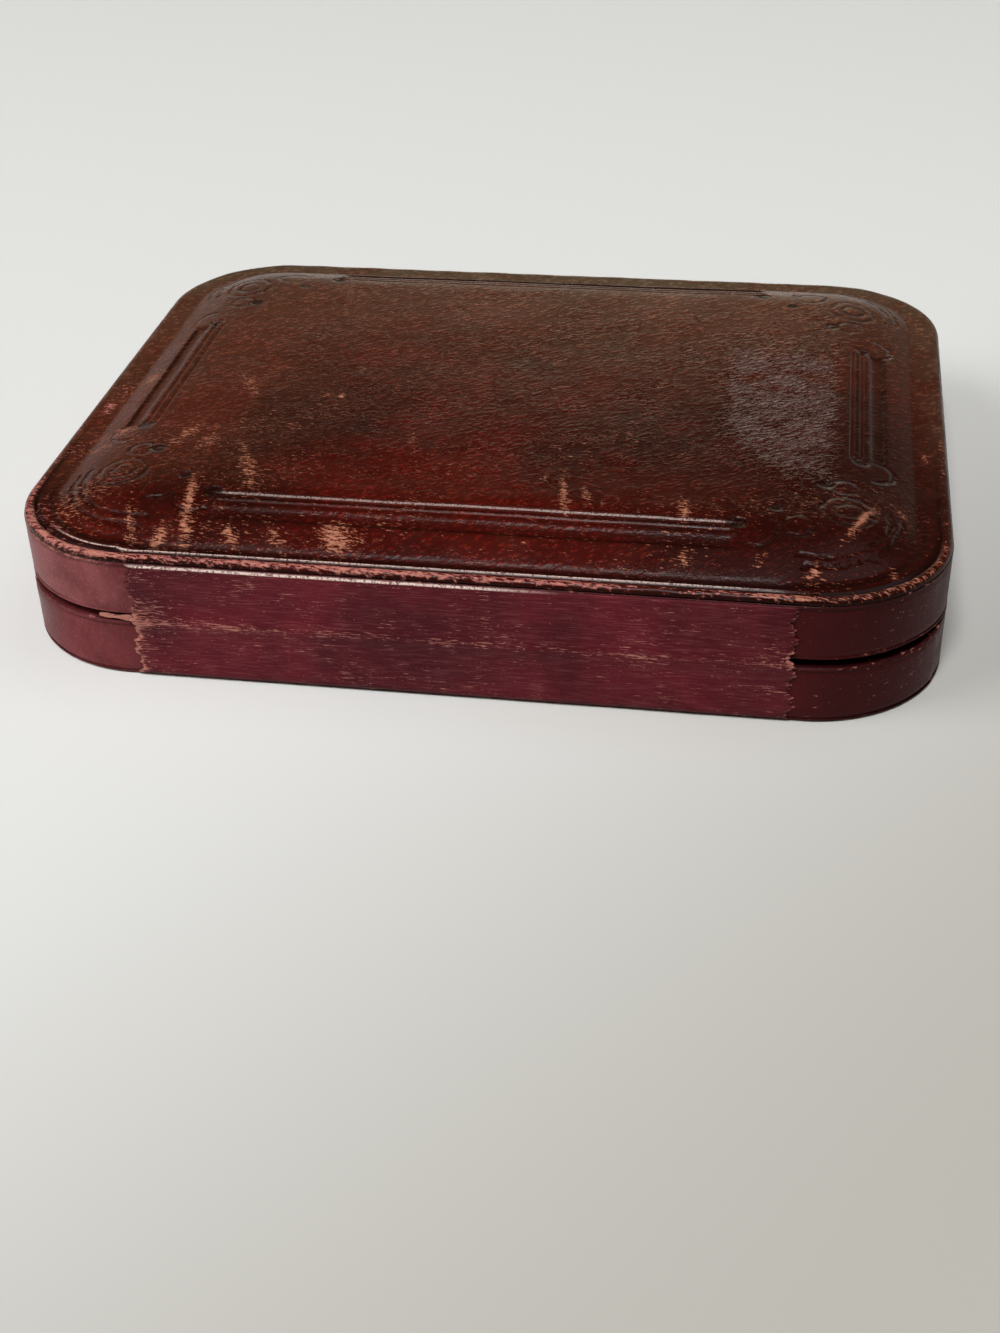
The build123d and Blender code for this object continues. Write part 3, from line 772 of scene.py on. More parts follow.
sideForm = {
    "edgeRound": 0.5,
    "footRound": 0.6,
    "gap": 0.07,
    "below": 0.05,
    "turnIn": {"lid": 4.85, "base": 5.25},
    "endShift": {"lid": -0.03, "base": 0.01},
    "holeHigh": 1.2,
    "laps": {"lid": [], "base": [(67.5, 48.5, 0.16), (-70.0, 47.0, 0.18)]},
    # strength of the dirt and painted shade at the edges
    "soilAndShadeShare": {"lid": 0.6, "base": 1.0},
    # strength of the painted light at the +x end
    "aged": {"lid": 1.0, "base": 0.4},
}


def slitAt(y):
    # half height of the gap at the back, tapering away round the corners
    full = caseHalf[1] - caseForm["slitFullFrom"]
    end = caseHalf[1] - caseForm["slitEndsAt"]
    return caseForm["slitHalf"] * np.clip((y - end) / (full - end), 0, 1)


def quarter(radius, count):
    # quarter circle from (radius, 0) to (0, radius), as distances from the two edges it rounds
    turn = np.linspace(0, np.pi / 2, count)
    return radius * (1 - np.sin(turn)), radius * (1 - np.cos(turn))


def makeSide(name, node, body, up, holes):
    # Band round the case: turned in at the seam, a rounded edge, the outside, and a rounded
    # edge at the far end. up is 1 for the lid, whose seam is below, and -1 for the base.
    form = sideForm
    low, high = limits(node)
    core, normal = stationsRound(caseForm["step"])
    count = len(core)
    outerY = core[:, 1] + normal[:, 1] * caseForm["corner"]
    seam = caseForm["seam"] + up * (slitAt(outerY) + form["gap"])
    edgeInset, edgeDrop = quarter(form["edgeRound"], 6)
    farInset, farDrop = quarter(form["footRound"], 6)
    far = (high if up > 0 else low)[2] + form["endShift"][body]
    start = seam + up * form["edgeRound"]
    end = far - up * form["footRound"]
    # each row is an inset and its heights
    rings = [(inset, seam + up * form["below"] * 0.4)
             for inset in np.linspace(form["turnIn"][body], form["edgeRound"] + 0.3, 12)]
    rings += [(inset, seam + up * drop) for inset, drop in zip(edgeInset[::-1], edgeDrop[::-1])]
    rings += [(0, start + (end - start) * share) for share in np.linspace(0, 1, 16)[1:-1]]
    rings += [(inset, far - up * drop) for inset, drop in zip(farInset, farDrop)]
    rings += [(inset, far) for inset in (0.6, 0.72)]
    inset = np.stack([np.full(count, ring[0], float) for ring in rings])
    z = np.stack([ring[1] + np.zeros(count) for ring in rings])
    x, y = insetPoints(core, normal, inset)
    # the skin is not dead flat, and at each lap it steps out a little
    swell = 0.035 * ripple(x + z, y - z, 16, 21 if up > 0 else 22)
    step, torn = np.zeros_like(x), np.zeros_like(x)
    for lapX, lapY, deep in form["laps"][body]:
        nearX = np.sign(lapX) * x > 0
        wander = 0.5 * np.sin(z * 1.7 + lapX) + 0.3 * np.sin(z * 4.3)
        rise = smooth(y, lapY + wander - 0.15, lapY + wander + 0.1)
        step = np.maximum(step, deep * nearX * rise)
        torn = np.maximum(torn, nearX * bell(y - lapY - wander, 0, 0.4))
    onWall = inset < 0.05
    push = onWall * (swell - 0.04) + onWall * (step - 0.1)
    x = x + normal[:, 0] * push
    y = y + normal[:, 1] * push
    quads = gridFaces(len(x), count, True, flip=up > 0)
    points = pointList(x, y, z)
    middle = points[quads].mean(1)
    keep = np.ones(len(quads), bool)
    for hole in holes:
        inside = np.abs(middle[:, 2] - caseForm["seam"]) < form["holeHigh"]
        for axis, (least, most) in enumerate(hole):
            inside &= (middle[:, axis] > least) & (middle[:, axis] < most)
        keep &= ~inside
    edge = bell(np.minimum(np.abs(z - seam), np.abs(z - far)), 0, 0.45)
    corners = smooth(np.abs(x), 55, 72) * smooth(np.abs(y), 40, 56)
    worn = 0.10 + 0.26 * edge * (0.5 + 0.5 * smooth(y, -10, 55)) + 0.13 * corners
    worn = worn + 0.08 * ripple(x + z, y, 18, 30) - 0.12 * (inset > 0.6) + 0.55 * torn
    rim = 0.7 * bell(z, far, 0.6) * smooth(x, 48, 64) * smooth(y, 28, 46)
    # dirt and painted shade along the far edge and the seam
    soilAndShade = (0.9 * bell(z, far, 0.5) + 0.35 * bell(z, seam, 0.5)) * form["soilAndShadeShare"][body]
    piece = buildMesh(name, points, quads[keep], None, {
        "worn": np.clip(worn + (up > 0) * rim, 0, 1),
        "soilAndShade": np.clip(soilAndShade, 0, 1),
        "edging": np.ones_like(x),
        # painted light, lighter towards the +x end near the spine
        "aged": form["aged"][body] * smooth(x, 36, 62) * smooth(y, 10, 45),
        # painted shade, darker towards the -x end
        "deep": smooth(-x, 35, 66),
    })
    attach(piece, body)
    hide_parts(node)
    print(name + ":", len(piece.data.polygons), "faces")
    return piece


def seamHoles():
    # places where the brass work goes through the turned-in leather, as spans of x and y
    found = []
    for hand in ("left", "right"):
        low, high = limits("hinge_pin_" + hand)
        found.append(((low[0] - 0.3, high[0] + 0.3), (low[1] - 0.75, caseHalf[1] + 2)))
    low, high = limits("latch")
    found.append(((low[0] - 0.4, high[0] + 0.4), (low[1] - 0.1, high[1] + 0.6)))
    return found


sideLeather = makeLeather("side_leather", sideLook)
holes = seamHoles()
give(makeSide("lid_side_cover", "lid_side_leather", "lid", 1, holes), sideLeather)
give(makeSide("base_side_cover", "base_side_leather", "base", -1, holes), sideLeather)


spineForm = {
    "thick": 0.42,
    "ragged": 0.8,
    "bulge": 0.35,
    "bulgeHalf": 1.6,
    "roll": 0.5,
    "shredLong": 6.2,
    "shredHalf": 0.58,
}


def makeSpine():
    # One strip over both back walls: its face is a function of x and height, with ragged ends,
    # thinned edges, and a low swelling over the hinge line.
    form = spineForm
    low, _ = limits("spine_lower")
    _, high = limits("spine_upper")
    half = (high[0] - low[0]) / 2
    rolled = form["roll"] / (high[2] - low[2])
    turn = 1 - rolled * np.cos(np.linspace(0, np.pi / 2, 12))
    upward = np.concatenate([np.linspace(0, 1 - rolled, 88)[:-1], turn])
    u, v = np.meshgrid(np.linspace(-1, 1, 261), upward)
    z = low[2] + (high[2] - low[2]) * v
    tatter = 0.5 * np.sin(z * 1.1 + 2 * np.sign(u)) + 0.35 * np.sin(z * 3.1)
    tatter = form["ragged"] * (tatter + 0.25 * np.sin(z * 7.7 + u))
    x = u * (half - 0.4) + tatter * u * smooth(np.abs(u), 0.8, 1.0)
    seam = caseForm["seam"]
    near = np.clip((1 - v) / rolled, 0, 1)
    edge = smooth(1 - np.abs(u), 0.0, 0.012) * smooth(v, 0.0, 0.03) * np.sqrt(1 - (1 - near) ** 2)
    lift = form["bulge"] * bell(z, seam, form["bulgeHalf"])
    wave = 0.035 * ripple(x, z * 2, 13, 41) + 0.02 * ripple(x, z * 3, 4, 42)
    front = caseHalf[1] + 0.06 + form["thick"] * (0.08 + 0.92 * edge) + lift + wave * edge
    outer = pointList(x, front, z)
    inner = pointList(x, np.minimum(caseHalf[1] + 0.02 + lift, front - 0.03), z)
    loop = gridBorder(*u.shape)
    following = np.roll(loop, -1)
    rim = np.stack([loop + u.size, following + u.size, following, loop], 1)
    # a shred torn from one end of the strip lies in the slit beside it
    along, across = np.meshgrid(np.linspace(0, 1, 15), np.linspace(0, 1, 5))
    shredX = half - 0.8 + form["shredLong"] * along
    shredHalf = form["shredHalf"] * (0.75 + 0.25 * np.sin(along * 9)) * (1 - 0.5 * along**4)
    bend = np.sqrt(caseForm["corner"] ** 2 - np.maximum(shredX - coreHalf[0], 0) ** 2)
    shredY = caseHalf[1] + (bend - caseForm["corner"]) - 0.12 + 0.10 * np.sin(along * 6)
    shred = pointList(shredX, shredY, seam + 0.05 + shredHalf * (2 * across - 1))
    points = np.concatenate([outer, inner, shred, shred - [0, 0.2, 0]])
    quads = np.concatenate([
        gridFaces(*u.shape, False, flip=True),
        gridFaces(*u.shape, False) + u.size,
        rim,
        gridFaces(5, 15, False, flip=True) + 2 * u.size,
        gridFaces(5, 15, False) + 2 * u.size + len(shred),
    ])
    end = smooth(np.abs(u), 0.975, 1.0)
    torn = end * (0.2 + 0.4 * smooth(seam + 1 - z, 0, 4)) * (u > 0) + 0.5 * end * (u < 0)
    torn = torn + 0.34 * bell(z, seam + 1.2, 2.2) * smooth(-x, 40, 51)
    worn = 0.10 + 0.34 * bell(z, seam, 0.8) + torn + 0.18 * smooth(x, 34, 50)
    worn = worn + 0.10 * ripple(x, z * 3, 20, 45)
    # painted highlight along the rolled top edge, which is also glossier
    shine = bell((1 - v) / rolled, 0.3, 0.35, 4) * smooth(x, -18, 0) * smooth(-x, -53, -49)
    fields = {
        "worn": (np.clip(worn, 0, 1), 1.3),
        # dirt and painted shade along the bottom edge
        "soilAndShade": (0.5 * bell(v, 0, 0.04), 0),
        "polishAndSheen": (shine, 0),
        "edging": (np.ones_like(u), 1),
    }
    # each field is repeated for the back of the strip, and has one value on the shred
    piece = buildMesh("spine_strip", points, quads, None, {
        key: np.concatenate([np.tile(field.ravel(), 2), np.full(2 * len(shred), float(onShred))])
        for key, (field, onShred) in fields.items()
    })
    give(piece, makeLeather("spine_leather", spineLook))
    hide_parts("spine_lower", "spine_upper")
    end = (0, caseHalf[1] * mm, (seam + 1.4) * mm)
    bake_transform(piece)
    print("spine:", len(piece.data.polygons), "faces")
    return piece


makeSpine()


insertForm = {
    "step": 0.8,
    "squeeze": 2.0,
    "edgeRound": 0.7,
    "deep": 5.6,
    "skirt": 2.2,
    # profile of a well's wall against squeezed distance: flat, shoulder arc, straight wall,
    # floor arc, flat; how far down it is, and where it stands in millimetres
    "knots": (-1.0, -0.62, -0.45, -0.3, -0.15, 0.15, 0.3, 0.45, 0.62, 1.0),
    "drop": (1.0, 1.0, 0.985, 0.93, 0.82, 0.16, 0.06, 0.015, 0.0, 0.0),
    "offset": (-2.0, -1.2, -0.75, -0.32, -0.1, 0.1, 0.22, 0.5, 1.1, 2.0),
    "necklaceOuter": (116.0, 88.0),
    "necklaceWide": 12.0,
    "necklaceGap": 24.0,
    "necklaceCorner": 30.0,
    "brooch": (38.0, 27.0),
    "earring": (64.0, 7.0),
}


def roundedBox(x, y, halfX, halfY, radius):
    # signed distance to a rounded rectangle, negative inside
    dx = np.abs(x) - (halfX - radius)
    dy = np.abs(y) - (halfY - radius)
    outside = np.hypot(np.maximum(dx, 0), np.maximum(dy, 0))
    return outside + np.minimum(np.maximum(dx, dy), 0) - radius


def wellDistance(x, y):
    # signed distance to the nearest well, negative inside: necklace channel, brooch, earrings
    form = insertForm
    wide, deep = form["necklaceOuter"]
    outer = roundedBox(x, y, wide / 2, deep / 2, form["necklaceCorner"])
    inset = form["necklaceWide"]
    inner = roundedBox(x, y, wide / 2 - inset, deep / 2 - inset, form["necklaceCorner"] - inset)
    gap = np.maximum(np.abs(x) - form["necklaceGap"] / 2, -y)
    ring = np.maximum(np.maximum(outer, -inner), -gap)
    a, b = form["brooch"][0] / 2, form["brooch"][1] / 2
    k = np.hypot(x / a, y / b)
    slope = np.hypot(x / a**2, y / b**2)
    brooch = k * (k - 1) / np.maximum(slope, 1e-6)
    spacing, radius = form["earring"]
    studs = np.hypot(np.abs(x) - spacing / 2, y) - radius
    return np.minimum(np.minimum(ring, brooch), studs)


def makeInsert():
    # A height field whose grid is drawn together at the walls: the distance to a well is
    # squeezed, so many grid lines fall on the shoulder, the wall and the rounded floor.
    form = insertForm
    _, high = limits("base_velvet")
    halfX, halfY = high[0] - 0.05, high[1] - 0.05
    columns = int(2 * halfX / form["step"]) | 1
    rows = int(2 * halfY / form["step"]) | 1
    x, y = np.meshgrid(np.linspace(-halfX, halfX, columns), np.linspace(-halfY, halfY, rows))
    # the sheet's own corners are rounded: points past the outline are drawn in to it
    corner = caseForm["corner"] - (caseHalf[0] - halfX)
    over = np.maximum(roundedBox(x, y, halfX, halfY, corner), 0)
    coreX = np.sign(x) * np.maximum(np.abs(x) - (halfX - corner), 0)
    coreY = np.sign(y) * np.maximum(np.abs(y) - (halfY - corner), 0)
    reach = np.maximum(np.hypot(coreX, coreY), 1e-6)
    x = x - coreX / reach * over
    y = y - coreY / reach * over
    far = wellDistance(x, y)
    tiny = 0.05
    gradX = (wellDistance(x + tiny, y) - wellDistance(x - tiny, y)) / (2 * tiny)
    gradY = (wellDistance(x, y + tiny) - wellDistance(x, y - tiny)) / (2 * tiny)
    size = np.maximum(np.hypot(gradX, gradY), 1e-6)
    t = np.clip(far / form["squeeze"], -1, 1)
    fall = np.interp(t, form["knots"], form["drop"])
    near = np.abs(far) < form["squeeze"]
    shift = np.where(near, np.interp(t, form["knots"], form["offset"]), far) - far
    x = x + gradX / size * shift
    y = y + gradY / size * shift
    z = high[2] - form["deep"] * fall
    roll = form["edgeRound"]
    border = np.clip(roundedBox(x, y, halfX, halfY, corner) + roll, 0, roll)
    z = z - (roll - np.sqrt(roll**2 - border**2))
    z = z - 0.05 + 0.04 * ripple(x, y, 12, 61)
    points = pointList(x, y, z)
    # skirt: the border goes straight down into the base
    loop = gridBorder(rows, columns)
    skirt = points[loop] * [1, 1, 0] + [0, 0, high[2] - form["skirt"]]
    ring = len(points) + np.arange(len(loop))
    walls = np.stack([loop, ring, np.roll(ring, -1), np.roll(loop, -1)], 1)
    quads = np.concatenate([gridFaces(rows, columns, False), walls])
    piece = buildMesh("velvet_insert", np.concatenate([points, skirt]), quads, None, {
        "well": np.concatenate([fall.ravel(), np.zeros(len(skirt))]),
    })
    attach(piece, "base")
    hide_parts("base_velvet")
    print("velvet insert:", len(piece.data.polygons), "faces")
    return piece


def makeVelvet():
    # Deep red pile: dark base, fuzzy sheen at grazing angles, brushed patches by noise, and
    # short fibres as fine bump; the wells are less faded than the top.
    material, shader, where = newMaterial("red_velvet")
    brushed = noise(where, 0.14, 4.0, 0.6, 1.2)
    fibre = noise(turned(where, 25, (1, 0.4, 1)), 6.0, 3.0, 0.7)
    tone = blendColour(fade(brushed, 0.35, 0.65), (0.055, 0.004, 0.010), (0.115, 0.010, 0.022))
    tone = blendColour(fade(fibre, 0.45, 0.75) * 0.4, tone, (0.19, 0.022, 0.04))
    faded = (1.0 - attribute(where, "well")) * fade(brushed, 0.5, 0.8)
    fill(shader, {
        "Base Color": blendColour(faded * 0.35, tone, (0.20, 0.04, 0.045)),
        "Roughness": 0.95,
        "Specular IOR Level": 0.15,
        "Sheen Weight": 0.8,
        "Sheen Roughness": 0.35,
        "Sheen Tint": (0.9, 0.25, 0.32, 1),
    })
    bumps(shader, fibre * 0.5 + brushed * 0.5, 0.00018, 0.8)
    return material


give(makeInsert(), makeVelvet())


padForm = {
    "step": 3.0,
    "innerRings": 18,
    "voxel": 2.0,
    "pressure": 3.0,
    "frames": 16,
    "cap": 0.6,
    "shrink": 0.7,
    "pleats": 46,
    "pleatDeep": 0.3,
    "pleatLong": 8.0,
    # below the top: where pleats end, what is glued to the board, and the rolled edge
    "flatSide": (3.2, 1.6),
    "held": 0.9,
    "rollFrom": 1.9,
    "rollHigh": 1.4,
}


def padShell():
    # Closed crowned cushion: flat against the lid, a rolled edge, and a low dome downwards.
    form = padForm
    low, high = limits("lid_satin_pad")
    core, normal = stationsRound(form["step"])
    corner = caseForm["corner"]
    start = caseHalf[0] - high[0]
    top, bottom = high[2], low[2]
    turn = np.linspace(0, np.pi / 2, 6)
    edge, roll = top - form["rollFrom"], form["rollHigh"]
    insets = np.concatenate([
        [start + 1.2, start + 0.15],
        start + form["shrink"] + 2.2 * (1 - np.cos(turn)),
        np.linspace(start + 4.6, corner - 0.1, 6),
    ])
    run = np.clip((insets - start) / (corner - start), 0, 1)
    rolled = edge - roll * np.sin(turn)
    heights = np.concatenate([[top, top - 0.1], rolled, np.full(6, edge - roll)])
    heights[2:] = heights[2:] - (edge - roll - bottom - form["cap"]) * smooth(run[2:], 0.0, 1.0)
    x, y = insetPoints(core, normal, insets[:, None])
    z = np.repeat(heights[:, None], len(core), 1)
    inward = 1 - (np.arange(1, form["innerRings"]) / form["innerRings"])[:, None]
    x, y = (np.concatenate([place, place[-1] * inward]) for place in (x, y))
    z = np.concatenate([z, np.full((len(inward), len(core)), z[-1].mean())])
    rows, count = x.shape
    points = pointList(x, y, z)
    points = np.concatenate([points, [[0, 0, points[-1, 2]], [0, 0, top]]])
    first = np.arange(count)
    fanLow = fanFaces((rows - 1) * count + first, rows * count)[:, [1, 0, 2]]
    fanTop = fanFaces(first, rows * count + 1)
    quads = gridFaces(rows, count, True, flip=True)
    return points, quads, np.concatenate([fanLow, fanTop])


def pleated(points, high):
    # short folds drawn in from the edge, a sine of the angle round the pad that dies away inwards
    form = padForm
    x, y, z = points.T
    inset = -roundedBox(x, y, high[0], high[1], caseForm["corner"])
    angle = np.arctan2(y / high[1], x / high[0])
    wander = 1.4 * np.sin(3 * angle + 1) + 0.8 * np.sin(7 * angle)
    reach = form["pleatLong"] * (1 + 0.35 * np.sin(11 * angle + 2))
    wave = np.sin(form["pleats"] * angle + wander) * bell(np.maximum(inset, 0), 0, reach, 1.5)
    flatFrom, flatTo = form["flatSide"]
    under = 1 - smooth(z, high[2] - flatFrom, high[2] - flatTo)
    lifted = z + form["pleatDeep"] * (0.5 + 0.5 * wave) * under * bell(inset, 0, reach)
    return np.stack([x, y, lifted], 1)


def makePad():
    points, quads, fans = padShell()
    low, high = limits("lid_satin_pad")
    piece = buildMesh("satin_pad", points, quads, fans)
    bpy.context.view_layer.objects.active = piece
    piece.select_set(True)
    remesh = piece.modifiers.new("remesh", "REMESH")
    remesh.mode = "VOXEL"
    remesh.voxel_size = padForm["voxel"] * mm
    bpy.ops.object.modifier_apply(modifier=remesh.name)
    before = np.empty(len(piece.data.vertices) * 3)
    piece.data.vertices.foreach_get("co", before)
    before = before.reshape(-1, 3)
    cloth = piece.modifiers.new("cloth", "CLOTH")
    cloth.settings.use_pressure = True
    cloth.settings.uniform_pressure_force = padForm["pressure"]
    cloth.settings.effector_weights.gravity = 0
    cloth.settings.quality = 4
    cloth.settings.mass = 0.05
    for step in range(1, padForm["frames"] + 1):
        bpy.context.scene.frame_set(step)
    bpy.ops.object.modifier_apply(modifier=cloth.name)
    bpy.context.scene.frame_set(1)
    after = np.empty(len(piece.data.vertices) * 3)
    piece.data.vertices.foreach_get("co", after)
    after = after.reshape(-1, 3)
    move = after - before
    length = np.linalg.norm(move, axis=1, keepdims=True)
    cap = padForm["cap"] * mm
    move = move * np.minimum(1, cap / np.maximum(length, 1e-9))
    held = (before[:, 2] > (high[2] - padForm["held"]) * mm)[:, None]
    place = before + np.where(held, 0, move)
    place = pleated(place / mm, high) * mm
    place[:, 2] = np.clip(place[:, 2], (low[2] + 0.02) * mm, (high[2] - 0.02) * mm)
    piece.data.vertices.foreach_set("co", place.ravel())
    piece.data.update()
    most = round(float(length.max()) / mm, 2)
    print("satin pad: cloth moved up to", most, "mm before the cap")
    piece.data.polygons.foreach_set("use_smooth", np.full(len(piece.data.polygons), True))
    finer = piece.modifiers.new("finer", "SUBSURF")
    finer.levels = 1
    finer.render_levels = 1
    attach(piece, "lid")
    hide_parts("lid_satin_pad")
    print("satin pad:", len(piece.data.polygons), "faces")
    return piece


def makeSatin():
    # Ivory satin: fine threads one way, soft puckers drawn in from the edge, yellowed by noise.
    material, shader, where = newMaterial("ivory_satin")
    threads = bands(where, "X", 1.1, 0.6, 1.0)
    aged = noise(where, 0.022, 2.0, 0.5, 0.3)
    slub = noise(turned(where, 0, (7, 0.35, 1)), 1.2, 2.0, 0.6)
    pucker = noise(turned(where, 12, (2.8, 1.0, 1)), 0.16, 3.0, 0.5, 0.8)
    tone = blendColour(fade(aged, 0.35, 0.7), (0.80, 0.73, 0.60), (0.72, 0.62, 0.46))
    tone = blendColour(fade(slub, 0.5, 0.75) * 0.2, tone, (0.84, 0.77, 0.64))
    fill(shader, {"Base Color": tone, "Roughness": 0.36, "Anisotropic": 0.5, "Sheen Weight": 0.25})
    bumps(shader, threads * 0.04 + pucker + slub * 0.05, 0.0012, 0.7)
    return material


give(makePad(), makeSatin())


buttonForm = {
    "dome": 0.75,
    "dish": 0.12,
    "flange": 0.35,
}


def spunRound(name, along, radius, middleZ, count=64):
    # profile of (depth along Y, radius) turned round a line parallel to Y
    turn = np.linspace(0, 2 * np.pi, count, endpoint=False)
    across, y = np.array(radius)[:, None], np.array(along)[:, None]
    points = pointList(across * np.cos(turn), y, middleZ + across * np.sin(turn))
    return buildMesh(name, points, gridFaces(len(along), count, True))


def makeButton(brass):
    # The button's face is a shallow hollow within a rounded edge; the collar is half a ring.
    low, high = limits("push_button")
    radius = (high[0] - low[0]) / 2
    face, shank = low[1], high[1]
    dome = buttonForm["dome"]
    rim = radius - 0.02
    turn = np.linspace(0, np.pi / 2, 10)[1:]
    dish = face + buttonForm["dish"] * np.linspace(0.02, 1, 5) ** 2
    along = [*dish, *(face + dome * (1 - np.cos(turn))), shank - 0.02, shank - 0.01]
    flat = np.linspace(0.001, 1, 5) * (rim - dome)
    radii = [*flat, *(rim - dome + dome * np.sin(turn)), rim, 0.001]
    piece = spunRound("brass_button", along, radii, (high[2] + low[2]) / 2)
    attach(piece, "button")
    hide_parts("push_button")
    give(piece, brass)
    low, high = limits("button_collar")
    outside = (high[0] - low[0]) / 2
    bore = radius + 0.05
    half = (outside - bore) / 2
    turn = np.linspace(0, np.pi, 12)
    rolled = low[1] + (-caseHalf[1] - low[1]) * (1 - np.sin(turn[::-1]))
    wall = -caseHalf[1] + 0.03
    along = [high[1], *rolled, wall, wall, high[1], high[1]]
    sleeve = outside - buttonForm["flange"]
    radii = [bore, *(bore + half - half * np.cos(turn)), outside, sleeve, sleeve, bore]
    collar = spunRound("brass_collar", along, radii, (high[2] + low[2]) / 2)
    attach(collar, "base")
    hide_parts("button_collar")
    give(collar, brass)
    print("button and collar made")


def makeBrass():
    # Aged brass: warm metal, brown tarnish in patches, fine scratches as bump and roughness.
    material, shader, where = newMaterial("aged_brass")
    tarnish = noise(where, 0.55, 5.0, 0.65, 0.4)
    scratch = noise(turned(where, 20, (3.0, 0.17, 1)), 2.5, 3.0, 0.6)
    tone = blendColour(fade(tarnish, 0.42, 0.7), (0.66, 0.44, 0.17), (0.22, 0.13, 0.055))
    rough = fade(tarnish, 0.35, 0.75, 0.24, 0.5) + scratch * 0.1
    fill(shader, {"Base Color": tone, "Metallic": 1.0, "Roughness": rough})
    bumps(shader, scratch, 0.00002, 0.6)
    return material


brass = makeBrass()
makeButton(brass)
brassNodes = ["hinge_base_nails", "hinge_lid_nails", "catch_plate", "catch_plate_screws"]
brassNodes += ["catch_hook", "catch_hook_screws", "latch"]
for hand in ("left", "right"):
    brassNodes += [part + hand for part in ("hinge_base_leaf_", "hinge_lid_leaf_", "hinge_pin_")]
for node in brassNodes:
    dress(node, brass)


def makeWood():
    # Softwood: rings as distorted bands along the case, with pores and a few darker streaks.
    material, shader, where = newMaterial("planed_softwood")
    rings = bands(turned(where, 0, (16, 1, 1)), "Y", 0.11, 5.0, 3.0)
    pores = noise(turned(where, 0, (12, 0.4, 0.4)), 2.2, 4.0, 0.6)
    tone = blendColour(rings, (0.50, 0.33, 0.17), (0.36, 0.21, 0.10))
    tone = blendColour(fade(pores, 0.5, 0.75) * 0.4, tone, (0.22, 0.12, 0.055))
    fill(shader, {"Base Color": tone, "Roughness": 0.7})
    bumps(shader, pores, 0.00008, 0.6)
    return material


def makeBoard(name, pale, dark, speck):
    # Card and paper: mottled fibres with dark specks.
    material, shader, where = newMaterial(name)
    fibre = noise(where, 1.6, 5.0, 0.7)
    fleck = noise(where, 4.5, 2.0, 0.5)
    tone = blendColour(fade(fibre, 0.35, 0.68), dark, pale)
    tone = blendColour(fade(fleck, 0.64, 0.7) * 0.7, tone, speck)
    fill(shader, {"Base Color": tone, "Roughness": 0.85})
    bumps(shader, fibre, 0.00006, 0.6)
    return material


def makeWadding():
    # Cotton wadding: pale tufts with soft hollows.
    material, shader, where = newMaterial("cotton_wadding")
    tuft = noise(where, 0.45, 6.0, 0.72, 0.6)
    tone = blendColour(fade(tuft, 0.3, 0.7), (0.55, 0.50, 0.40), (0.78, 0.74, 0.65))
    fill(shader, {"Base Color": tone, "Roughness": 0.95, "Sheen Weight": 0.3})
    bumps(shader, tuft, 0.0006, 0.8)
    return material


def makeSpringSteel():
    # Blued steel, brushed along its length.
    material, shader, where = newMaterial("blued_spring_steel")
    brushed = noise(turned(where, 0, (2.5, 0.2, 0.2)), 2.0, 3.0, 0.6)
    tone = blendColour(fade(brushed, 0.35, 0.7), (0.10, 0.12, 0.17), (0.30, 0.32, 0.36))
    rough = fade(brushed, 0.3, 0.7, 0.26, 0.42)
    fill(shader, {"Base Color": tone, "Metallic": 1.0, "Roughness": rough})
    bumps(shader, brushed, 0.00002, 0.5)
    return material


springForm = {
    "thick": 0.2,
    "stations": 41,
    "inside": 0.01,
}


def makeSpring():
    # Bowed strip behind the latch: an arc of a circle in plan.
    form = springForm
    low, high = limits("latch_spring")
    half = high[0]
    bow = high[1] - low[1] - form["thick"]
    radius = (half**2 + bow**2) / (2 * bow)
    x = np.linspace(-half, half, form["stations"])
    front = low[1] + radius - np.sqrt(radius**2 - x**2)
    thick = form["thick"]
    foot, top = low[2] + form["inside"], high[2] - form["inside"]
    corners = [(front, foot), (front + thick, foot), (front + thick, top), (front, top)]
    points = np.stack([np.stack([x * 0.998, y, np.full_like(x, z)], -1) for y, z in corners], 1)
    quads = gridFaces(form["stations"], 4, True, flip=True)
    last = 4 * (form["stations"] - 1)
    caps = np.array([[0, 3, 2, 1], [last, last + 1, last + 2, last + 3]])
    quads = np.concatenate([quads, caps])
    piece = buildMesh("bowed_spring", points.reshape(-1, 3), quads, smoothShade=False)
    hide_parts("latch_spring")
    give(piece, makeSpringSteel())
    height = (foot + top) / 2
    start = (0, high[1] * mm, height * mm)
    end = (0, low[1] * mm, height * mm)
    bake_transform(piece)
    print("spring made")


wood = makeWood()
# pale, dark and speck of each board
cardTones = (0.42, 0.33, 0.21), (0.28, 0.20, 0.12), (0.14, 0.09, 0.05)
liningTones = (0.17, 0.022, 0.034), (0.10, 0.012, 0.020), (0.05, 0.008, 0.012)
card = makeBoard("millboard", *cardTones)
liningPaper = makeBoard("lining_paper", *liningTones)
for node in ("base_wall", "base_board", "lid_wall", "lid_board"):
    dress(node, wood)
for node in ("lid_pad_board", "insert_former"):
    dress(node, card)
for node in ("base_lining", "lid_lining"):
    dress(node, liningPaper)
dress("lid_wadding", makeWadding())
makeSpring()
dress("base_bottom_leather", makeLeather("bottom_leather", bottomLook))
print("finishes given to the CAD nodes")


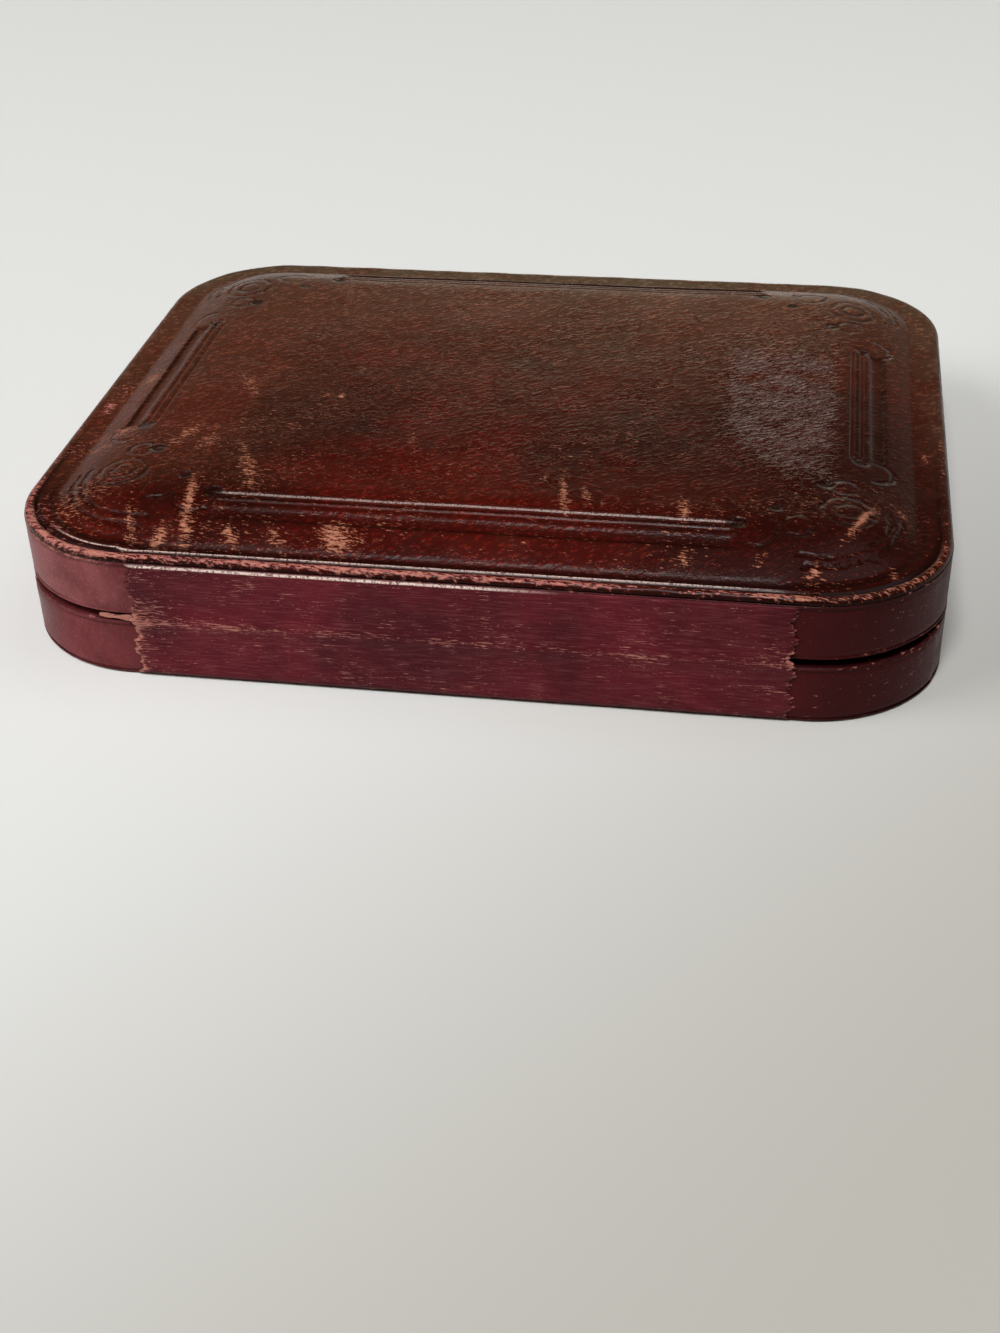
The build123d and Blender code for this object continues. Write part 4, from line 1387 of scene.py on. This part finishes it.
stageForm = {
    "floorBright": (0.87, 0.885, 0.875),
    "floorShaded": (0.545, 0.535, 0.495),
    "floorHalf": 3000.0,
    "paleWay": (1.0, -0.8, 0.0),
    "lamps": {
        # place in metres, width, power and tint
        "key": ((1.9, 0.8, 1.75), 1.7, 29.0, (1.0, 0.99, 0.97)),
        "overhead": ((0.15, 1.1, 2.2), 0.7, 34.0, (1.0, 0.99, 0.98)),
        "haze": ((0.2, -2.2, 0.16), 0.8, 1.3, (1.0, 0.89, 0.60)),
        "room_fill": ((-1.0, -0.4, 2.3), 2.0, 9.0, (1.0, 0.98, 0.98)),
    },
    "horizon": (0.17, 0.14, 0.085),
    "upper": (0.02, 0.018, 0.017),
    "zenith": (0.08, 0.08, 0.08),
    "wall": (0.74, 0.74, 0.73),
    "wallFrom": 650.0,
    "wallWhole": 1500.0,
    "wallBand": (0.0, 0.13),
}


def seesWall(tree, glossyShare):
    # 1 for rays from the camera and through glass, a share for reflected rays, 0 for the light
    camera, glass, glossy = (
        addNode(tree, "ShaderNodeLightPath", {}, kind)
        for kind in ("Is Camera Ray", "Is Transmission Ray", "Is Glossy Ray")
    )
    return calc("MAXIMUM", calc("MAXIMUM", camera, glass), glossy * glossyShare)


def makeFloor():
    # pale paper with painted shade: greyer and warmer towards one side, where the light falls off
    form = stageForm
    material, shader, where = newMaterial("pale_floor")
    apart = vector("LENGTH", where)
    slope = vector("DOT_PRODUCT", where, form["paleWay"])
    share = calc("MAXIMUM", fade(slope, -200, 10), fade(apart, 240, 600))
    tone = blendColour(share, form["floorShaded"], form["floorBright"])
    fill(shader, {"Base Color": tone, "Roughness": 0.9, "Specular IOR Level": 0.2})
    # far off, the camera sees the floor pass into the plain wall behind it
    tree = where.tree
    away = fade(apart, form["wallFrom"], form["wallWhole"]) * seesWall(tree, 1.0)
    wall = addNode(tree, "ShaderNodeEmission", {"Color": (*form["wall"], 1)})
    paper = Field(tree, shader.outputs[0])
    mixed = addNode(tree, "ShaderNodeMixShader", {0: away, 1: paper, 2: wall})
    fill(tree.nodes["Material Output"], {"Surface": mixed})
    points = np.array([[-1, -1, 0], [1, -1, 0], [1, 1, 0], [-1, 1, 0]]) * form["floorHalf"]
    floor = buildMesh("floor", points, np.array([[0, 1, 2, 3]]))
    give(floor, material)


def addLamp(name, place, size, power, tint):
    # round lamp that looks at the middle of the case
    data = bpy.data.lights.new(name, "AREA")
    data.shape = "DISK"
    data.size = size
    data.energy = power
    data.color = tint
    lamp = bpy.data.objects.new(name, data)
    lamp.location = place
    aim = Vector((0, 0, 0.01)) - Vector(place)
    lamp.rotation_euler = aim.to_track_quat("-Z", "Y").to_euler()
    lamp.visible_camera = False
    bpy.context.scene.collection.objects.link(lamp)


def makeSky(tree):
    # By height alone: warm and dim near the horizon, darker above it, a little paler overhead.
    # The camera and glass see a plain pale wall, and gloss and metal see it low down.
    form = stageForm
    way = addNode(tree, "ShaderNodeTexCoord", {}, "Generated")
    height = addNode(tree, "ShaderNodeSeparateXYZ", {0: way}, 2)
    lower = blendColour(fade(height, 0.26, 0.50), form["horizon"], form["upper"])
    whole = blendColour(fade(height, 0.62, 0.9), lower, form["zenith"])
    seen = seesWall(tree, fade(height, *form["wallBand"], 1.0, 0.0))
    sky = blendColour(seen, whole, form["wall"])
    fill(tree.nodes["Background"], {"Color": sky, "Strength": 1.0})


def setStage():
    makeFloor()
    for name, lamp in stageForm["lamps"].items():
        addLamp(name, *lamp)
    world = bpy.data.worlds.new("studio")
    bpy.context.scene.world = world
    world.use_nodes = True
    makeSky(world.node_tree)
    print("floor and lights set")


cameraForm = {
    "place": (-49.31, 293.25, 166.55),
    "right": (-0.9865, -0.1614, -0.0258),
    "up": (0.0694, -0.5566, 0.8278),
    "forward": (0.148, -0.8149, -0.5604),
    "lens": 49.94,
}


def setCamera():
    data = bpy.data.cameras.new("camera")
    data.lens = cameraForm["lens"]
    data.sensor_width = 36
    data.clip_start = 0.01
    camera = bpy.data.objects.new("camera", data)
    right, up = Vector(cameraForm["right"]), Vector(cameraForm["up"])
    back = -Vector(cameraForm["forward"])
    turn = Matrix((right, up, back)).transposed().to_4x4()
    camera.matrix_world = Matrix.Translation(Vector(cameraForm["place"]) * mm) @ turn
    bpy.context.scene.collection.objects.link(camera)
    bpy.context.scene.camera = camera


setStage()
setCamera()
bpy.context.scene.view_settings.view_transform = "Standard"

bpy.context.view_layer.update()
